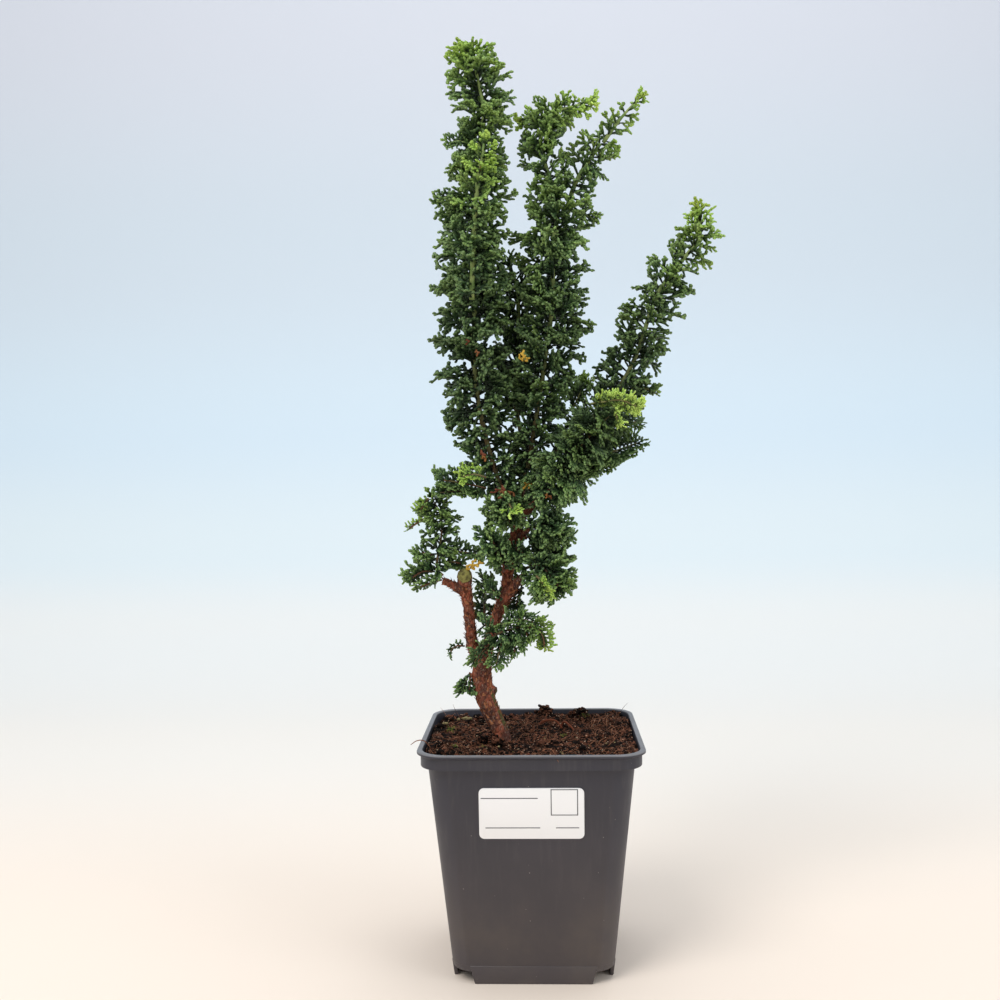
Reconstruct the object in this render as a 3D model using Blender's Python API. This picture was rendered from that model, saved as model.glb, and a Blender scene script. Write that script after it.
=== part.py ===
"""A hinoki cypress bonsai growing in its square nursery pot, in metres with +Z up."""

import math
import random

import bmesh
import bpy
import numpy as np
from mathutils import Matrix, Vector, noise
from mathutils.bvhtree import BVHTree

OBJECT = "hinoki_cypress_bonsai"

# The tree leans right, so the pot stands left of the origin, which is the middle of the whole box
POT_X = -0.0176
GAP = 0.0003

# Pot: half widths of its rounded square at each height
POT_HEIGHT = 0.115
LIP_HALF = 0.055
LIP_THICK = 0.0015
BAND_HALF = 0.0529
BAND_HEIGHT = 0.0075
BAND_STEP = 0.0009
BAND_UNDERSIDE = 0.0004
LIP_UNDERSIDE = 0.0006
BODY_TOP_HALF = 0.0493
BODY_BOTTOM_HALF = 0.0396
FLOOR_Z = 0.005
WALL = 0.0013
CORNER_RADIUS = 0.010
CORNER_STEPS = 4
FOOT_HALF_LENGTH = 0.0285
FOOT_END_SLANT = 0.0025
FOOT_THICK = 0.0018
FOOT_SINK = 0.0010
FOOT_INSET = 0.0001
HOLE_RADIUS = 0.003
HOLE_RING = 0.024
HOLE_SIDES = 8
HOLE_COUNT = 9

# Soil
SOIL_LEVEL = 0.1103
SOIL_MOUND = 0.0015
SOIL_LUMP = 0.0020
SOIL_LUMP_SIZE = 0.011
SOIL_CELLS = 18

# Sticker on the front wall
LABEL_SIZE = (0.050, 0.025)
LABEL_THICK = 0.0006
LABEL_CORNER = 0.0025
LABEL_HEIGHT = 0.086

# Wood: each limb is a list of points (x, y, z, radius) from the pot's bottom centre
TRUNK = [
    (-0.0085, -0.0110, 0.066, 0.0036),
    (-0.0100, -0.0108, 0.090, 0.0042),
    (-0.0120, -0.0103, 0.106, 0.0045),
    (-0.0150, -0.0100, 0.116, 0.0045),
    (-0.0210, -0.0090, 0.128, 0.0044),
    (-0.0240, -0.0080, 0.137, 0.0048),
    (-0.0250, -0.0060, 0.145, 0.0048),
    (-0.0245, -0.0050, 0.153, 0.0042),
]
ROOT_POINTS = 5
LIMBS = [
    # The bare left limb, which ends in a sawn stub
    [
        (-0.0250, -0.0055, 0.1490, 0.0034), (-0.0295, -0.0060, 0.1600, 0.0028),
        (-0.0305, -0.0070, 0.1700, 0.0025), (-0.0318, -0.0080, 0.1840, 0.0026),
        (-0.0327, -0.0092, 0.1910, 0.0031), (-0.0335, -0.0110, 0.1970, 0.0034),
    ],
    # Its side branch
    [
        (-0.0320, -0.0080, 0.1870, 0.0021), (-0.0380, -0.0090, 0.1920, 0.0019),
        (-0.0440, -0.0090, 0.1940, 0.0015),
    ],
    # The right limb
    [
        (-0.0245, -0.0050, 0.1510, 0.0034), (-0.0210, -0.0030, 0.1620, 0.0030),
        (-0.0180, -0.0020, 0.1720, 0.0028), (-0.0140, -0.0020, 0.1810, 0.0026),
        (-0.0090, -0.0040, 0.1880, 0.0021), (-0.0040, -0.0070, 0.1950, 0.0014),
    ],
    # The limb behind it, which carries the crown
    [
        (-0.0150, -0.0020, 0.1790, 0.0028), (-0.0120, 0.0010, 0.1880, 0.0028),
        (-0.0110, 0.0030, 0.2000, 0.0027), (-0.0080, 0.0040, 0.2130, 0.0026),
        (-0.0060, 0.0040, 0.2220, 0.0026), (-0.0045, 0.0052, 0.2320, 0.0022),
    ],
    # Where the leafy stems start
    [
        (-0.0065, 0.0040, 0.2200, 0.0024), (-0.0095, 0.0037, 0.2290, 0.0022),
    ],
    [
        (-0.0060, 0.0040, 0.2220, 0.0018), (0.0000, -0.0010, 0.2290, 0.0017),
        (0.0055, -0.0055, 0.2335, 0.0015),
    ],
    [
        (-0.0080, 0.0040, 0.2130, 0.0014), (-0.0040, 0.0000, 0.2160, 0.0013),
        (0.0000, -0.0040, 0.2190, 0.0012),
    ],
    [
        (-0.0110, 0.0030, 0.2000, 0.0014), (-0.0130, 0.0000, 0.2030, 0.0013),
        (-0.0150, -0.0030, 0.2060, 0.0012),
    ],
    [
        (-0.0115, 0.0015, 0.1960, 0.0013), (-0.0130, -0.0028, 0.2010, 0.0011),
    ],
    [
        (-0.0080, 0.0040, 0.2130, 0.0014), (-0.0016, 0.0043, 0.2144, 0.0011),
    ],
    [
        (-0.0115, 0.0020, 0.1950, 0.0014), (-0.0110, 0.0070, 0.1980, 0.0013),
        (-0.0110, 0.0110, 0.2010, 0.0012),
    ],
    [
        (-0.0080, 0.0040, 0.2120, 0.0014), (-0.0070, 0.0080, 0.2140, 0.0013),
        (-0.0065, 0.0120, 0.2170, 0.0012),
    ],
    [
        (-0.0245, -0.0060, 0.1530, 0.0014), (-0.0225, -0.0090, 0.1570, 0.0013),
        (-0.0210, -0.0110, 0.1600, 0.0011),
    ],
    [
        (-0.0290, -0.0060, 0.1590, 0.0012), (-0.0330, -0.0073, 0.1600, 0.0010),
    ],
    [
        (-0.0250, -0.0065, 0.1460, 0.0013), (-0.0310, -0.0082, 0.1445, 0.0010),
    ],
    [
        (-0.0205, -0.0030, 0.1630, 0.0013), (-0.0215, 0.0010, 0.1650, 0.0012),
        (-0.0225, 0.0045, 0.1670, 0.0011),
    ],
    [
        (-0.0150, -0.0020, 0.1790, 0.0012), (-0.0165, -0.0050, 0.1840, 0.0010),
    ],
]
WOOD_STEP = 0.0075
FINE_STEP = 0.002
THICK_LIMB = 0.0020
BARK_SCALES = 44
BARK_LENGTH = (0.0036, 0.0050)
BARK_WIDTH = (0.0014, 0.0022)
BARK_TIP = 0.0003
BARK_SINK = 0.0002
BARK_RISE = 1.4

# Leafy stems: points (x, y, z, reach), where reach is how far the fronds stand out from the stem there.
# A column has fronds all round it, and a spray is flat, with leaflets on its two sides.
STEMS = {
    "left_leader": [
        ("column", [
            (-0.0098, 0.0037, 0.2300, 0.013), (-0.0140, 0.0030, 0.2390, 0.015),
            (-0.0220, 0.0010, 0.2610, 0.017), (-0.0270, 0.0010, 0.2850, 0.018),
            (-0.0285, 0.0020, 0.3140, 0.017), (-0.0270, 0.0030, 0.3460, 0.018),
            (-0.0260, 0.0030, 0.3880, 0.018), (-0.0250, 0.0020, 0.4150, 0.014),
            (-0.0260, 0.0010, 0.4310, 0.013),
        ]),
    ],
    "left_leader_tip": [
        ("column", [
            (-0.0262, 0.0010, 0.4320, 0.013), (-0.0275, 0.0010, 0.4470, 0.014),
            (-0.0262, 0.0010, 0.4620, 0.009),
        ]),
    ],
    "left_front_shoot": [
        ("column", [
            (-0.0275, -0.0095, 0.3350, 0.010), (-0.0262, -0.0130, 0.3620, 0.012),
            (-0.0235, -0.0160, 0.3920, 0.010),
        ]),
    ],
    "left_front_shoot_tip": [
        ("column", [
            (-0.0232, -0.0162, 0.3935, 0.010), (-0.0215, -0.0170, 0.4020, 0.009),
            (-0.0200, -0.0170, 0.4110, 0.006),
        ]),
    ],
    "middle_leader": [
        ("column", [
            (-0.0043, 0.0053, 0.2335, 0.012), (-0.0010, 0.0070, 0.2490, 0.014),
            (0.0040, 0.0090, 0.2750, 0.016), (0.0090, 0.0100, 0.3060, 0.016),
            (0.0140, 0.0100, 0.3370, 0.016), (0.0145, 0.0100, 0.3630, 0.016),
            (0.0135, 0.0100, 0.3890, 0.014), (0.0100, 0.0090, 0.4100, 0.013),
        ]),
    ],
    "middle_leader_tip": [
        ("column", [
            (0.0098, 0.0089, 0.4110, 0.011), (0.0080, 0.0080, 0.4210, 0.010),
            (0.0120, 0.0070, 0.4310, 0.009), (0.0210, 0.0060, 0.4360, 0.008),
            (0.0340, 0.0035, 0.4370, 0.006),
        ]),
        ("spray", [
            (0.0090, 0.0080, 0.4250, 0.006), (0.0030, 0.0070, 0.4290, 0.006),
            (-0.0020, 0.0060, 0.4280, 0.0040),
        ]),
    ],
    "middle_side_branch": [
        ("column", [
            (0.0215, 0.0135, 0.3850, 0.009), (0.0270, 0.0135, 0.4000, 0.010),
            (0.0390, 0.0130, 0.4180, 0.009),
        ]),
    ],
    "middle_side_branch_tip": [
        ("column", [
            (0.0397, 0.0130, 0.4187, 0.009), (0.0490, 0.0130, 0.4310, 0.008),
            (0.0590, 0.0115, 0.4400, 0.005),
        ]),
    ],
    "right_branch": [
        ("column", [
            (0.0060, 0.0105, 0.2555, 0.009), (0.0150, 0.0110, 0.2580, 0.011),
            (0.0260, 0.0130, 0.2660, 0.012), (0.0350, 0.0150, 0.2800, 0.013),
            (0.0460, 0.0160, 0.2930, 0.013), (0.0560, 0.0160, 0.3100, 0.013),
            (0.0660, 0.0160, 0.3320, 0.013), (0.0740, 0.0150, 0.3460, 0.012),
            (0.0860, 0.0135, 0.3640, 0.011),
        ]),
    ],
    "right_branch_tip": [
        ("column", [
            (0.0865, 0.0134, 0.3650, 0.011), (0.0900, 0.0130, 0.3730, 0.010),
            (0.0915, 0.0120, 0.3840, 0.007),
        ]),
    ],
    "front_branch": [
        ("column", [
            (0.0060, -0.0060, 0.2340, 0.011), (0.0140, -0.0130, 0.2440, 0.013),
            (0.0230, -0.0190, 0.2570, 0.014), (0.0330, -0.0230, 0.2700, 0.013),
            (0.0400, -0.0250, 0.2790, 0.011),
        ]),
        ("spray", [
            (0.0230, -0.0190, 0.2570, 0.009), (0.0360, -0.0180, 0.2590, 0.009),
            (0.0530, -0.0160, 0.2630, 0.006),
        ]),
    ],
    "front_branch_tip": [
        ("column", [
            (0.0407, -0.0252, 0.2797, 0.011), (0.0450, -0.0260, 0.2850, 0.010),
            (0.0500, -0.0265, 0.2890, 0.007),
        ]),
    ],
    "left_tuft": [
        ("spray", [
            (-0.0215, -0.0075, 0.2430, 0.008), (-0.0320, -0.0110, 0.2460, 0.009),
            (-0.0450, -0.0150, 0.2490, 0.006),
        ]),
    ],
    "left_tuft_tip": [
        ("spray", [
            (-0.0245, -0.0170, 0.2450, 0.005), (-0.0300, -0.0190, 0.2480, 0.006),
            (-0.0360, -0.0210, 0.2470, 0.005),
        ]),
    ],
    "low_left_branch": [
        ("column", [
            (-0.0445, -0.0090, 0.1943, 0.007), (-0.0500, -0.0090, 0.1990, 0.010),
            (-0.0510, -0.0080, 0.2080, 0.011), (-0.0480, -0.0070, 0.2190, 0.011),
            (-0.0480, -0.0060, 0.2290, 0.009), (-0.0500, -0.0050, 0.2360, 0.006),
        ]),
        ("spray", [
            (-0.0520, -0.0095, 0.2000, 0.006), (-0.0580, -0.0110, 0.1960, 0.007),
            (-0.0635, -0.0120, 0.1920, 0.005),
        ]),
        ("spray", [
            (-0.0520, -0.0085, 0.2080, 0.006), (-0.0580, -0.0100, 0.2060, 0.006),
            (-0.0620, -0.0110, 0.2060, 0.005),
        ]),
        ("spray", [
            (-0.0460, -0.0065, 0.2120, 0.008), (-0.0370, -0.0040, 0.2110, 0.009),
            (-0.0265, -0.0015, 0.2095, 0.006),
        ]),
    ],
    "low_left_branch_tip": [
        ("spray", [
            (-0.0550, -0.0145, 0.2320, 0.006), (-0.0575, -0.0150, 0.2260, 0.006),
            (-0.0605, -0.0150, 0.2190, 0.0040),
        ]),
    ],
    "low_right_spray": [
        ("column", [
            (-0.0035, -0.0074, 0.1957, 0.009), (0.0030, -0.0120, 0.1990, 0.012),
            (0.0095, -0.0160, 0.1970, 0.012), (0.0150, -0.0185, 0.1910, 0.009),
        ]),
    ],
    "low_right_spray_tip": [
        ("spray", [
            (0.0075, -0.0270, 0.1945, 0.006), (0.0090, -0.0295, 0.1890, 0.007),
            (0.0110, -0.0310, 0.1810, 0.005),
        ]),
    ],
    "low_right_upper_spray": [
        ("column", [
            (0.0005, -0.0045, 0.2195, 0.010), (0.0070, -0.0100, 0.2210, 0.013),
            (0.0130, -0.0135, 0.2180, 0.011),
        ]),
    ],
    "centre_front_spray": [
        ("column", [
            (-0.0120, -0.0030, 0.2330, 0.009), (-0.0110, -0.0100, 0.2320, 0.012),
            (-0.0095, -0.0160, 0.2260, 0.010),
        ]),
    ],
    "centre_front_spray_tip": [
        ("spray", [
            (-0.0090, -0.0220, 0.2300, 0.007), (-0.0080, -0.0255, 0.2240, 0.006),
        ]),
    ],
    "centre_left_spray": [
        ("column", [
            (-0.0155, -0.0035, 0.2065, 0.010), (-0.0190, -0.0080, 0.2110, 0.012),
            (-0.0220, -0.0130, 0.2150, 0.010),
        ]),
    ],
    "centre_low_spray": [
        ("column", [
            (-0.0138, -0.0042, 0.2012, 0.009), (-0.0155, -0.0100, 0.2005, 0.012),
            (-0.0180, -0.0170, 0.1960, 0.009),
        ]),
    ],
    "middle_right_spray": [
        ("column", [
            (-0.0012, 0.0043, 0.2145, 0.010), (0.0060, 0.0045, 0.2130, 0.013),
            (0.0130, 0.0040, 0.2070, 0.010),
        ]),
    ],
    "lowest_spray": [
        ("column", [
            (-0.0205, -0.0115, 0.1605, 0.007), (-0.0150, -0.0150, 0.1640, 0.009),
            (-0.0080, -0.0180, 0.1670, 0.009), (-0.0010, -0.0200, 0.1695, 0.008),
            (0.0050, -0.0210, 0.1685, 0.006),
        ]),
        ("spray", [
            (-0.0150, -0.0150, 0.1630, 0.005), (-0.0210, -0.0190, 0.1630, 0.006),
            (-0.0260, -0.0200, 0.1580, 0.005),
        ]),
        ("spray", [
            (-0.0120, -0.0165, 0.1640, 0.005), (-0.0145, -0.0195, 0.1580, 0.006),
            (-0.0165, -0.0210, 0.1510, 0.0040),
        ]),
    ],
    "lowest_spray_tip": [
        ("spray", [
            (0.0056, -0.0210, 0.1682, 0.006), (0.0090, -0.0210, 0.1650, 0.005),
            (0.0110, -0.0205, 0.1610, 0.0030),
        ]),
    ],
    "sprig_left": [
        ("spray", [
            (-0.0335, -0.0075, 0.1602, 0.0040), (-0.0380, -0.0085, 0.1610, 0.005),
            (-0.0420, -0.0090, 0.1560, 0.0030),
        ]),
    ],
    "sprig_lower_left": [
        ("spray", [
            (-0.0315, -0.0084, 0.1443, 0.0040), (-0.0340, -0.0093, 0.1415, 0.005),
            (-0.0370, -0.0100, 0.1370, 0.0030),
        ]),
    ],
    "inner_spray": [
        ("column", [
            (-0.0226, 0.0050, 0.1673, 0.006), (-0.0240, 0.0085, 0.1750, 0.008),
            (-0.0235, 0.0110, 0.1900, 0.007),
        ]),
    ],
    "limb_sprig": [
        ("spray", [
            (-0.0167, -0.0055, 0.1848, 0.0040), (-0.0195, -0.0085, 0.1890, 0.005),
        ]),
    ],
    "inner_shoot": [
        ("column", [
            (-0.0045, 0.0180, 0.2780, 0.011), (-0.0055, 0.0220, 0.3000, 0.014),
            (-0.0050, 0.0230, 0.3220, 0.014), (-0.0040, 0.0220, 0.3450, 0.012),
            (-0.0020, 0.0200, 0.3620, 0.008),
        ]),
    ],
    "back_low_spray": [
        ("column", [
            (-0.0065, 0.0126, 0.2174, 0.009), (-0.0060, 0.0190, 0.2240, 0.013),
            (-0.0040, 0.0270, 0.2380, 0.013), (-0.0010, 0.0310, 0.2540, 0.009),
        ]),
    ],
    "back_limb_spray": [
        ("column", [
            (-0.0110, 0.0116, 0.2014, 0.008), (-0.0120, 0.0180, 0.2040, 0.011),
            (-0.0140, 0.0250, 0.2040, 0.008),
        ]),
    ],
    "back_middle_spray": [
        ("column", [
            (0.0115, 0.0195, 0.3160, 0.010), (0.0120, 0.0260, 0.3330, 0.012),
            (0.0140, 0.0280, 0.3540, 0.008),
        ]),
    ],
    "back_left_spray": [
        ("column", [
            (-0.0310, 0.0120, 0.3220, 0.010), (-0.0335, 0.0180, 0.3400, 0.012),
            (-0.0320, 0.0200, 0.3640, 0.008),
        ]),
    ],
}
# What carries each leafy stem, where that isn't the trunk, or for a tip its own stem
CARRIERS = {
    "left_front_shoot": "left_leader",
    "left_tuft": "left_leader",
    "centre_front_spray": "left_leader",
    "back_left_spray": "left_leader",
    "middle_side_branch": "middle_leader",
    "right_branch": "middle_leader",
    "inner_shoot": "middle_leader",
    "back_middle_spray": "middle_leader",
}
STALK_LEAST = 0.0010
STALK_GAP = 0.0005
STALK_RADII = (0.0005, 0.0010)
STALK_SINK = 0.0012

CORE_SHARE = 0.36
CORE_LEAST = 0.0009
CORE_START = 0.45
CORE_END = 0.25
CORE_SWELL = 2.7
CORE_STEP = 0.012
WHORL_STEP = 0.56
WHORL_RISE = math.radians(33)
WHORL_TIP_RISE = math.radians(66)
WHORL_UNEVEN = 0.15
FROND_ARC = 0.0130
FROND_SHAPE = (0.45, 1.0, 0.90)
FROND_LENGTHS = (0.90, 1.12)
LEAFLET_STEP = 0.0034
LEAFLET_SWEEP = 0.45
LEAFLET_NOTCH = 0.24
LEAFLET_LENGTHS = (0.85, 1.10)
SPRAY_THICK = 0.0013
SPRAY_END = 0.5
SPRAY_TILT = math.radians(50)
CLIP_SHARES = (1.0, 0.88, 0.76, 0.64, 0.52, 0.4, 0.28)
CLIP_MARGIN = 0.06
CLIP_CLEAR = 0.0009
SEED = 11
SHARP_ANGLE = math.radians(35)

POT_COLOUR = (0.055, 0.055, 0.065)
SOIL_COLOUR = (0.050, 0.028, 0.017)
LABEL_COLOUR = (0.86, 0.86, 0.87)
BARK_COLOUR = (0.190, 0.070, 0.035)
DARK_GREEN = (0.035, 0.105, 0.050)
FRESH_GREEN = (0.170, 0.330, 0.060)


def new_material(name, colour, roughness):
    material = bpy.data.materials.new(name)
    material.use_nodes = True
    shader = material.node_tree.nodes["Principled BSDF"]
    shader.inputs["Base Color"].default_value = (*colour, 1.0)
    shader.inputs["Roughness"].default_value = roughness
    shader.inputs["Metallic"].default_value = 0.0
    return material


def new_collection(name):
    collection = bpy.data.collections.new(name)
    bpy.context.scene.collection.children.link(collection)
    return collection


def move_to(obj, collection):
    for holder in list(obj.users_collection):
        holder.objects.unlink(obj)
    collection.objects.link(obj)


def object_from(name, bm, collection):
    mesh = bpy.data.meshes.new(name)
    bmesh.ops.recalc_face_normals(bm, faces=bm.faces)
    bm.to_mesh(mesh)
    bm.free()
    obj = bpy.data.objects.new(name, mesh)
    collection.objects.link(obj)
    return obj


def evaluated_mesh(obj):
    bpy.context.view_layer.update()
    graph = bpy.context.evaluated_depsgraph_get()
    return bpy.data.meshes.new_from_object(obj.evaluated_get(graph))


def finish(obj, collection, origin, material):
    """Puts a finished piece in the model's collection, under the pot's own origin."""
    move_to(obj, collection)
    obj.parent = origin
    obj.data.shade_smooth()
    obj.data.set_sharp_from_angle(angle=SHARP_ANGLE)
    obj.data.materials.clear()
    obj.data.materials.append(material)
    return obj


def boolean(obj, others, operation, solver="EXACT"):
    """Applies one Boolean of a collection of objects to obj, then removes them."""
    group = new_collection(obj.name + "_" + operation.lower())
    group.hide_render = True
    for other in others:
        move_to(other, group)
    modifier = obj.modifiers.new("join", "BOOLEAN")
    modifier.operation = operation
    modifier.operand_type = "COLLECTION"
    modifier.collection = group
    modifier.solver = solver
    mesh = evaluated_mesh(obj)
    obj.modifiers.remove(modifier)
    obj.data = mesh
    for other in others:
        bpy.data.objects.remove(other)
    bpy.data.collections.remove(group)


def keep_main_body(obj):
    """Drops loose scraps and the shells of hollows that the union sealed."""
    bm = bmesh.new()
    bm.from_mesh(obj.data)
    left = set(bm.verts)
    bodies = []
    while left:
        body = {left.pop()}
        edge = list(body)
        while edge:
            vert = edge.pop()
            for link in vert.link_edges:
                other = link.other_vert(vert)
                if other in left:
                    left.remove(other)
                    body.add(other)
                    edge.append(other)
        bodies.append(body)
    largest = max(bodies, key=len)
    spare = [vert for body in bodies if body is not largest for vert in body]
    bmesh.ops.delete(bm, geom=spare, context="VERTS")
    bm.to_mesh(obj.data)
    bm.free()


def new_ring(bm, rim):
    """Extrudes the open rim once and gives the new ring's vertices, in order, with its edges."""
    made = bmesh.ops.extrude_edge_only(bm, edges=rim)["geom"]
    ring = [item for item in made if isinstance(item, bmesh.types.BMVert)]
    edges = [item for item in made if isinstance(item, bmesh.types.BMEdge) and item.is_boundary]
    return ring, edges


def smooth_path(points, step):
    """Points about step apart on a smooth curve through the given ones, with their fourth number blended."""
    rows = [Vector(point) for point in points]
    rows = [2 * rows[0] - rows[1], *rows, 2 * rows[-1] - rows[-2]]
    path = []
    for a, b, c, d in zip(rows, rows[1:], rows[2:], rows[3:]):
        count = max(1, round((c - b).xyz.length / step))
        for i in range(count):
            t = i / count
            bend = (2 * a - 5 * b + 4 * c - d) * t**2 + (3 * b - a - 3 * c + d) * t**3
            path.append((2 * b + (c - a) * t + bend) / 2)
    path.append(rows[-2])
    return path


def add_tube(name, path, collection, resolution):
    """A round tube along points whose fourth number is its radius, as a closed mesh."""
    curve = bpy.data.curves.new(name, "CURVE")
    curve.dimensions = "3D"
    curve.bevel_depth = 1.0
    curve.bevel_resolution = resolution
    curve.use_fill_caps = True
    spline = curve.splines.new("POLY")
    spline.points.add(len(path) - 1)
    for point, row in zip(spline.points, path):
        point.co = (*row.xyz, 1.0)
        point.radius = row.w
    guide = bpy.data.objects.new(name + "_guide", curve)
    collection.objects.link(guide)
    bm = bmesh.new()
    mesh = evaluated_mesh(guide)
    bm.from_mesh(mesh)
    bmesh.ops.remove_doubles(bm, verts=bm.verts, dist=1e-6)
    tube = object_from(name, bm, collection)
    tube.matrix_world = guide.matrix_world
    bpy.data.objects.remove(guide)
    return tube


# Pot, soil and sticker


def square_loft(rings):
    """A closed solid through rounded squares, each given as (half width, height)."""
    bm = bmesh.new()
    half, height = rings[0]
    bmesh.ops.create_grid(bm, x_segments=1, y_segments=1, size=half)
    bmesh.ops.bevel(
        bm,
        geom=bm.verts[:],
        offset=CORNER_RADIUS,
        segments=CORNER_STEPS,
        profile=0.5,
        affect="VERTICES",
    )
    bmesh.ops.translate(bm, verts=bm.verts, vec=(0, 0, height))
    rim = [edge for edge in bm.edges if edge.is_boundary]
    for next_half, next_height in rings[1:]:
        ring, rim = new_ring(bm, rim)
        grow = next_half / half
        bmesh.ops.scale(bm, verts=ring, vec=(grow, grow, 1))
        bmesh.ops.translate(bm, verts=ring, vec=(0, 0, next_height - height))
        half, height = next_half, next_height
    bmesh.ops.contextual_create(bm, geom=rim)
    return bm


def body_half(z):
    """Half the outer width of the tapered body at height z."""
    share = (z - FLOOR_Z) / (POT_HEIGHT - BAND_HEIGHT - FLOOR_Z)
    return BODY_BOTTOM_HALF + share * (BODY_TOP_HALF - BODY_BOTTOM_HALF)


def make_pot(collection):
    band_z = POT_HEIGHT - BAND_HEIGHT
    lip_z = POT_HEIGHT - LIP_THICK
    rings = [
        (BODY_BOTTOM_HALF, FLOOR_Z),
        (BODY_TOP_HALF, band_z),
        (BAND_HALF, band_z + BAND_UNDERSIDE),
        (BAND_HALF, lip_z - LIP_UNDERSIDE),
        (LIP_HALF, lip_z),
        (LIP_HALF, POT_HEIGHT),
        (BAND_HALF - WALL, POT_HEIGHT),
        (BAND_HALF - WALL, band_z + BAND_STEP),
        (BODY_TOP_HALF - WALL, band_z),
        (BODY_BOTTOM_HALF - WALL, FLOOR_Z + WALL),
    ]
    pot = object_from("pot", square_loft(rings), collection)
    feet = [make_foot(turn, collection) for turn in range(4)]
    boolean(pot, feet, "UNION")
    boolean(pot, [make_drain(i, collection) for i in range(HOLE_COUNT)], "DIFFERENCE")
    return pot


def make_foot(turn, collection):
    """One foot skirt: the wall carried down to the ground between two corner notches."""
    bm = bmesh.new()
    bmesh.ops.create_cube(bm, size=1)
    for vert in bm.verts:
        high = vert.co.z > 0
        outside = vert.co.y < 0
        z = FLOOR_Z + FOOT_SINK if high else 0
        y = body_half(z) - FOOT_INSET - (0 if outside else FOOT_THICK)
        x = FOOT_HALF_LENGTH + (FOOT_END_SLANT if high else 0)
        vert.co = (math.copysign(x, vert.co.x), -y, z)
    foot = object_from(f"foot_{turn}", bm, collection)
    foot.rotation_euler.z = turn * math.pi / 2
    return foot


def make_drain(index, collection):
    """The cutter of a drainage hole: the first in the middle and the others in a ring."""
    bm = bmesh.new()
    bmesh.ops.create_cone(
        bm,
        cap_ends=True,
        segments=HOLE_SIDES,
        radius1=HOLE_RADIUS,
        radius2=HOLE_RADIUS,
        depth=8 * WALL,
    )
    drain = object_from(f"drain_{index}", bm, collection)
    away = HOLE_RING if index else 0
    angle = index * 2 * math.pi / (HOLE_COUNT - 1)
    drain.location = (away * math.cos(angle), away * math.sin(angle), FLOOR_Z + WALL / 2)
    return drain


def soil_height(x, y):
    """The lumpy top of the potting mix, a little higher in the middle."""
    middle = max(0, 1 - (x**2 + y**2) / BAND_HALF**2)
    place = Vector((x, y, 0)) / SOIL_LUMP_SIZE
    return SOIL_LEVEL + SOIL_MOUND * middle + SOIL_LUMP * noise.noise(place)


def make_soil(collection):
    band_z = POT_HEIGHT - BAND_HEIGHT
    rings = [
        (BODY_BOTTOM_HALF - WALL - GAP, FLOOR_Z + WALL + GAP),
        (BODY_TOP_HALF - WALL - GAP, band_z + GAP),
        (BAND_HALF - WALL - GAP, band_z + BAND_STEP + GAP),
        (BAND_HALF - WALL - GAP, 2 * POT_HEIGHT),
    ]
    soil = object_from("soil", square_loft(rings), collection)
    bm = bmesh.new()
    bmesh.ops.create_grid(bm, x_segments=SOIL_CELLS, y_segments=SOIL_CELLS, size=LIP_HALF)
    for vert in bm.verts:
        vert.co.z = soil_height(vert.co.x, vert.co.y)
    made = bmesh.ops.extrude_face_region(bm, geom=bm.faces[:])["geom"]
    for item in made:
        if isinstance(item, bmesh.types.BMVert):
            item.co.z = 3 * POT_HEIGHT
    boolean(soil, [object_from("soil_top", bm, collection)], "DIFFERENCE")
    keep_main_body(soil)
    return soil


def make_label(collection):
    bm = bmesh.new()
    bmesh.ops.create_grid(bm, x_segments=1, y_segments=1, size=0.5)
    bmesh.ops.scale(bm, verts=bm.verts, vec=(*LABEL_SIZE, 1))
    bmesh.ops.bevel(
        bm,
        geom=bm.verts[:],
        offset=LABEL_CORNER,
        segments=CORNER_STEPS,
        profile=0.5,
        affect="VERTICES",
    )
    made = bmesh.ops.extrude_face_region(bm, geom=bm.faces[:])["geom"]
    bmesh.ops.translate(
        bm,
        verts=[item for item in made if isinstance(item, bmesh.types.BMVert)],
        vec=(0, 0, LABEL_THICK),
    )
    label = object_from("label", bm, collection)
    lean = math.atan2(BODY_TOP_HALF - BODY_BOTTOM_HALF, POT_HEIGHT - BAND_HEIGHT - FLOOR_Z)
    label.location = (0, -body_half(LABEL_HEIGHT) - 1.5 * GAP, LABEL_HEIGHT)
    label.rotation_euler.x = math.pi / 2 + lean
    return label


# Wood


def make_trunk(collection):
    chance = random.Random(SEED)
    trunk = add_tube("trunk", smooth_path(TRUNK, WOOD_STEP), collection, 3)
    parts = []
    for number, limb in enumerate(LIMBS):
        resolution = 2 if limb[0][3] > THICK_LIMB else 1
        parts.append(add_tube(f"limb_{number}", smooth_path(limb, WOOD_STEP), collection, resolution))
    barked = []
    for wood in (TRUNK[3:], LIMBS[0][:-1], LIMBS[2][:-1]):
        barked += smooth_path(wood, FINE_STEP)
    for number in range(BARK_SCALES):
        place = chance.choice(barked)
        parts.append(make_bark_scale(number, place, chance, collection))
    boolean(trunk, parts, "UNION", "MANIFOLD")
    keep_main_body(trunk)
    return trunk


def make_bark_scale(number, place, chance, collection):
    """A short four-sided flake of bark that stands off the wood and points up."""
    bm = bmesh.new()
    bmesh.ops.create_cone(
        bm,
        cap_ends=True,
        segments=4,
        radius1=chance.uniform(*BARK_WIDTH),
        radius2=BARK_TIP,
        depth=chance.uniform(*BARK_LENGTH),
    )
    angle = chance.uniform(0, 2 * math.pi)
    away = Vector((math.cos(angle), math.sin(angle), 0))
    out = away + Vector((0, 0, BARK_RISE))
    scale = object_from(f"bark_scale_{number}", bm, collection)
    scale.rotation_mode = "QUATERNION"
    scale.rotation_quaternion = out.to_track_quat("Z", "Y")
    scale.location = place.xyz + away * (place.w - BARK_SINK)
    return scale


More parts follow.
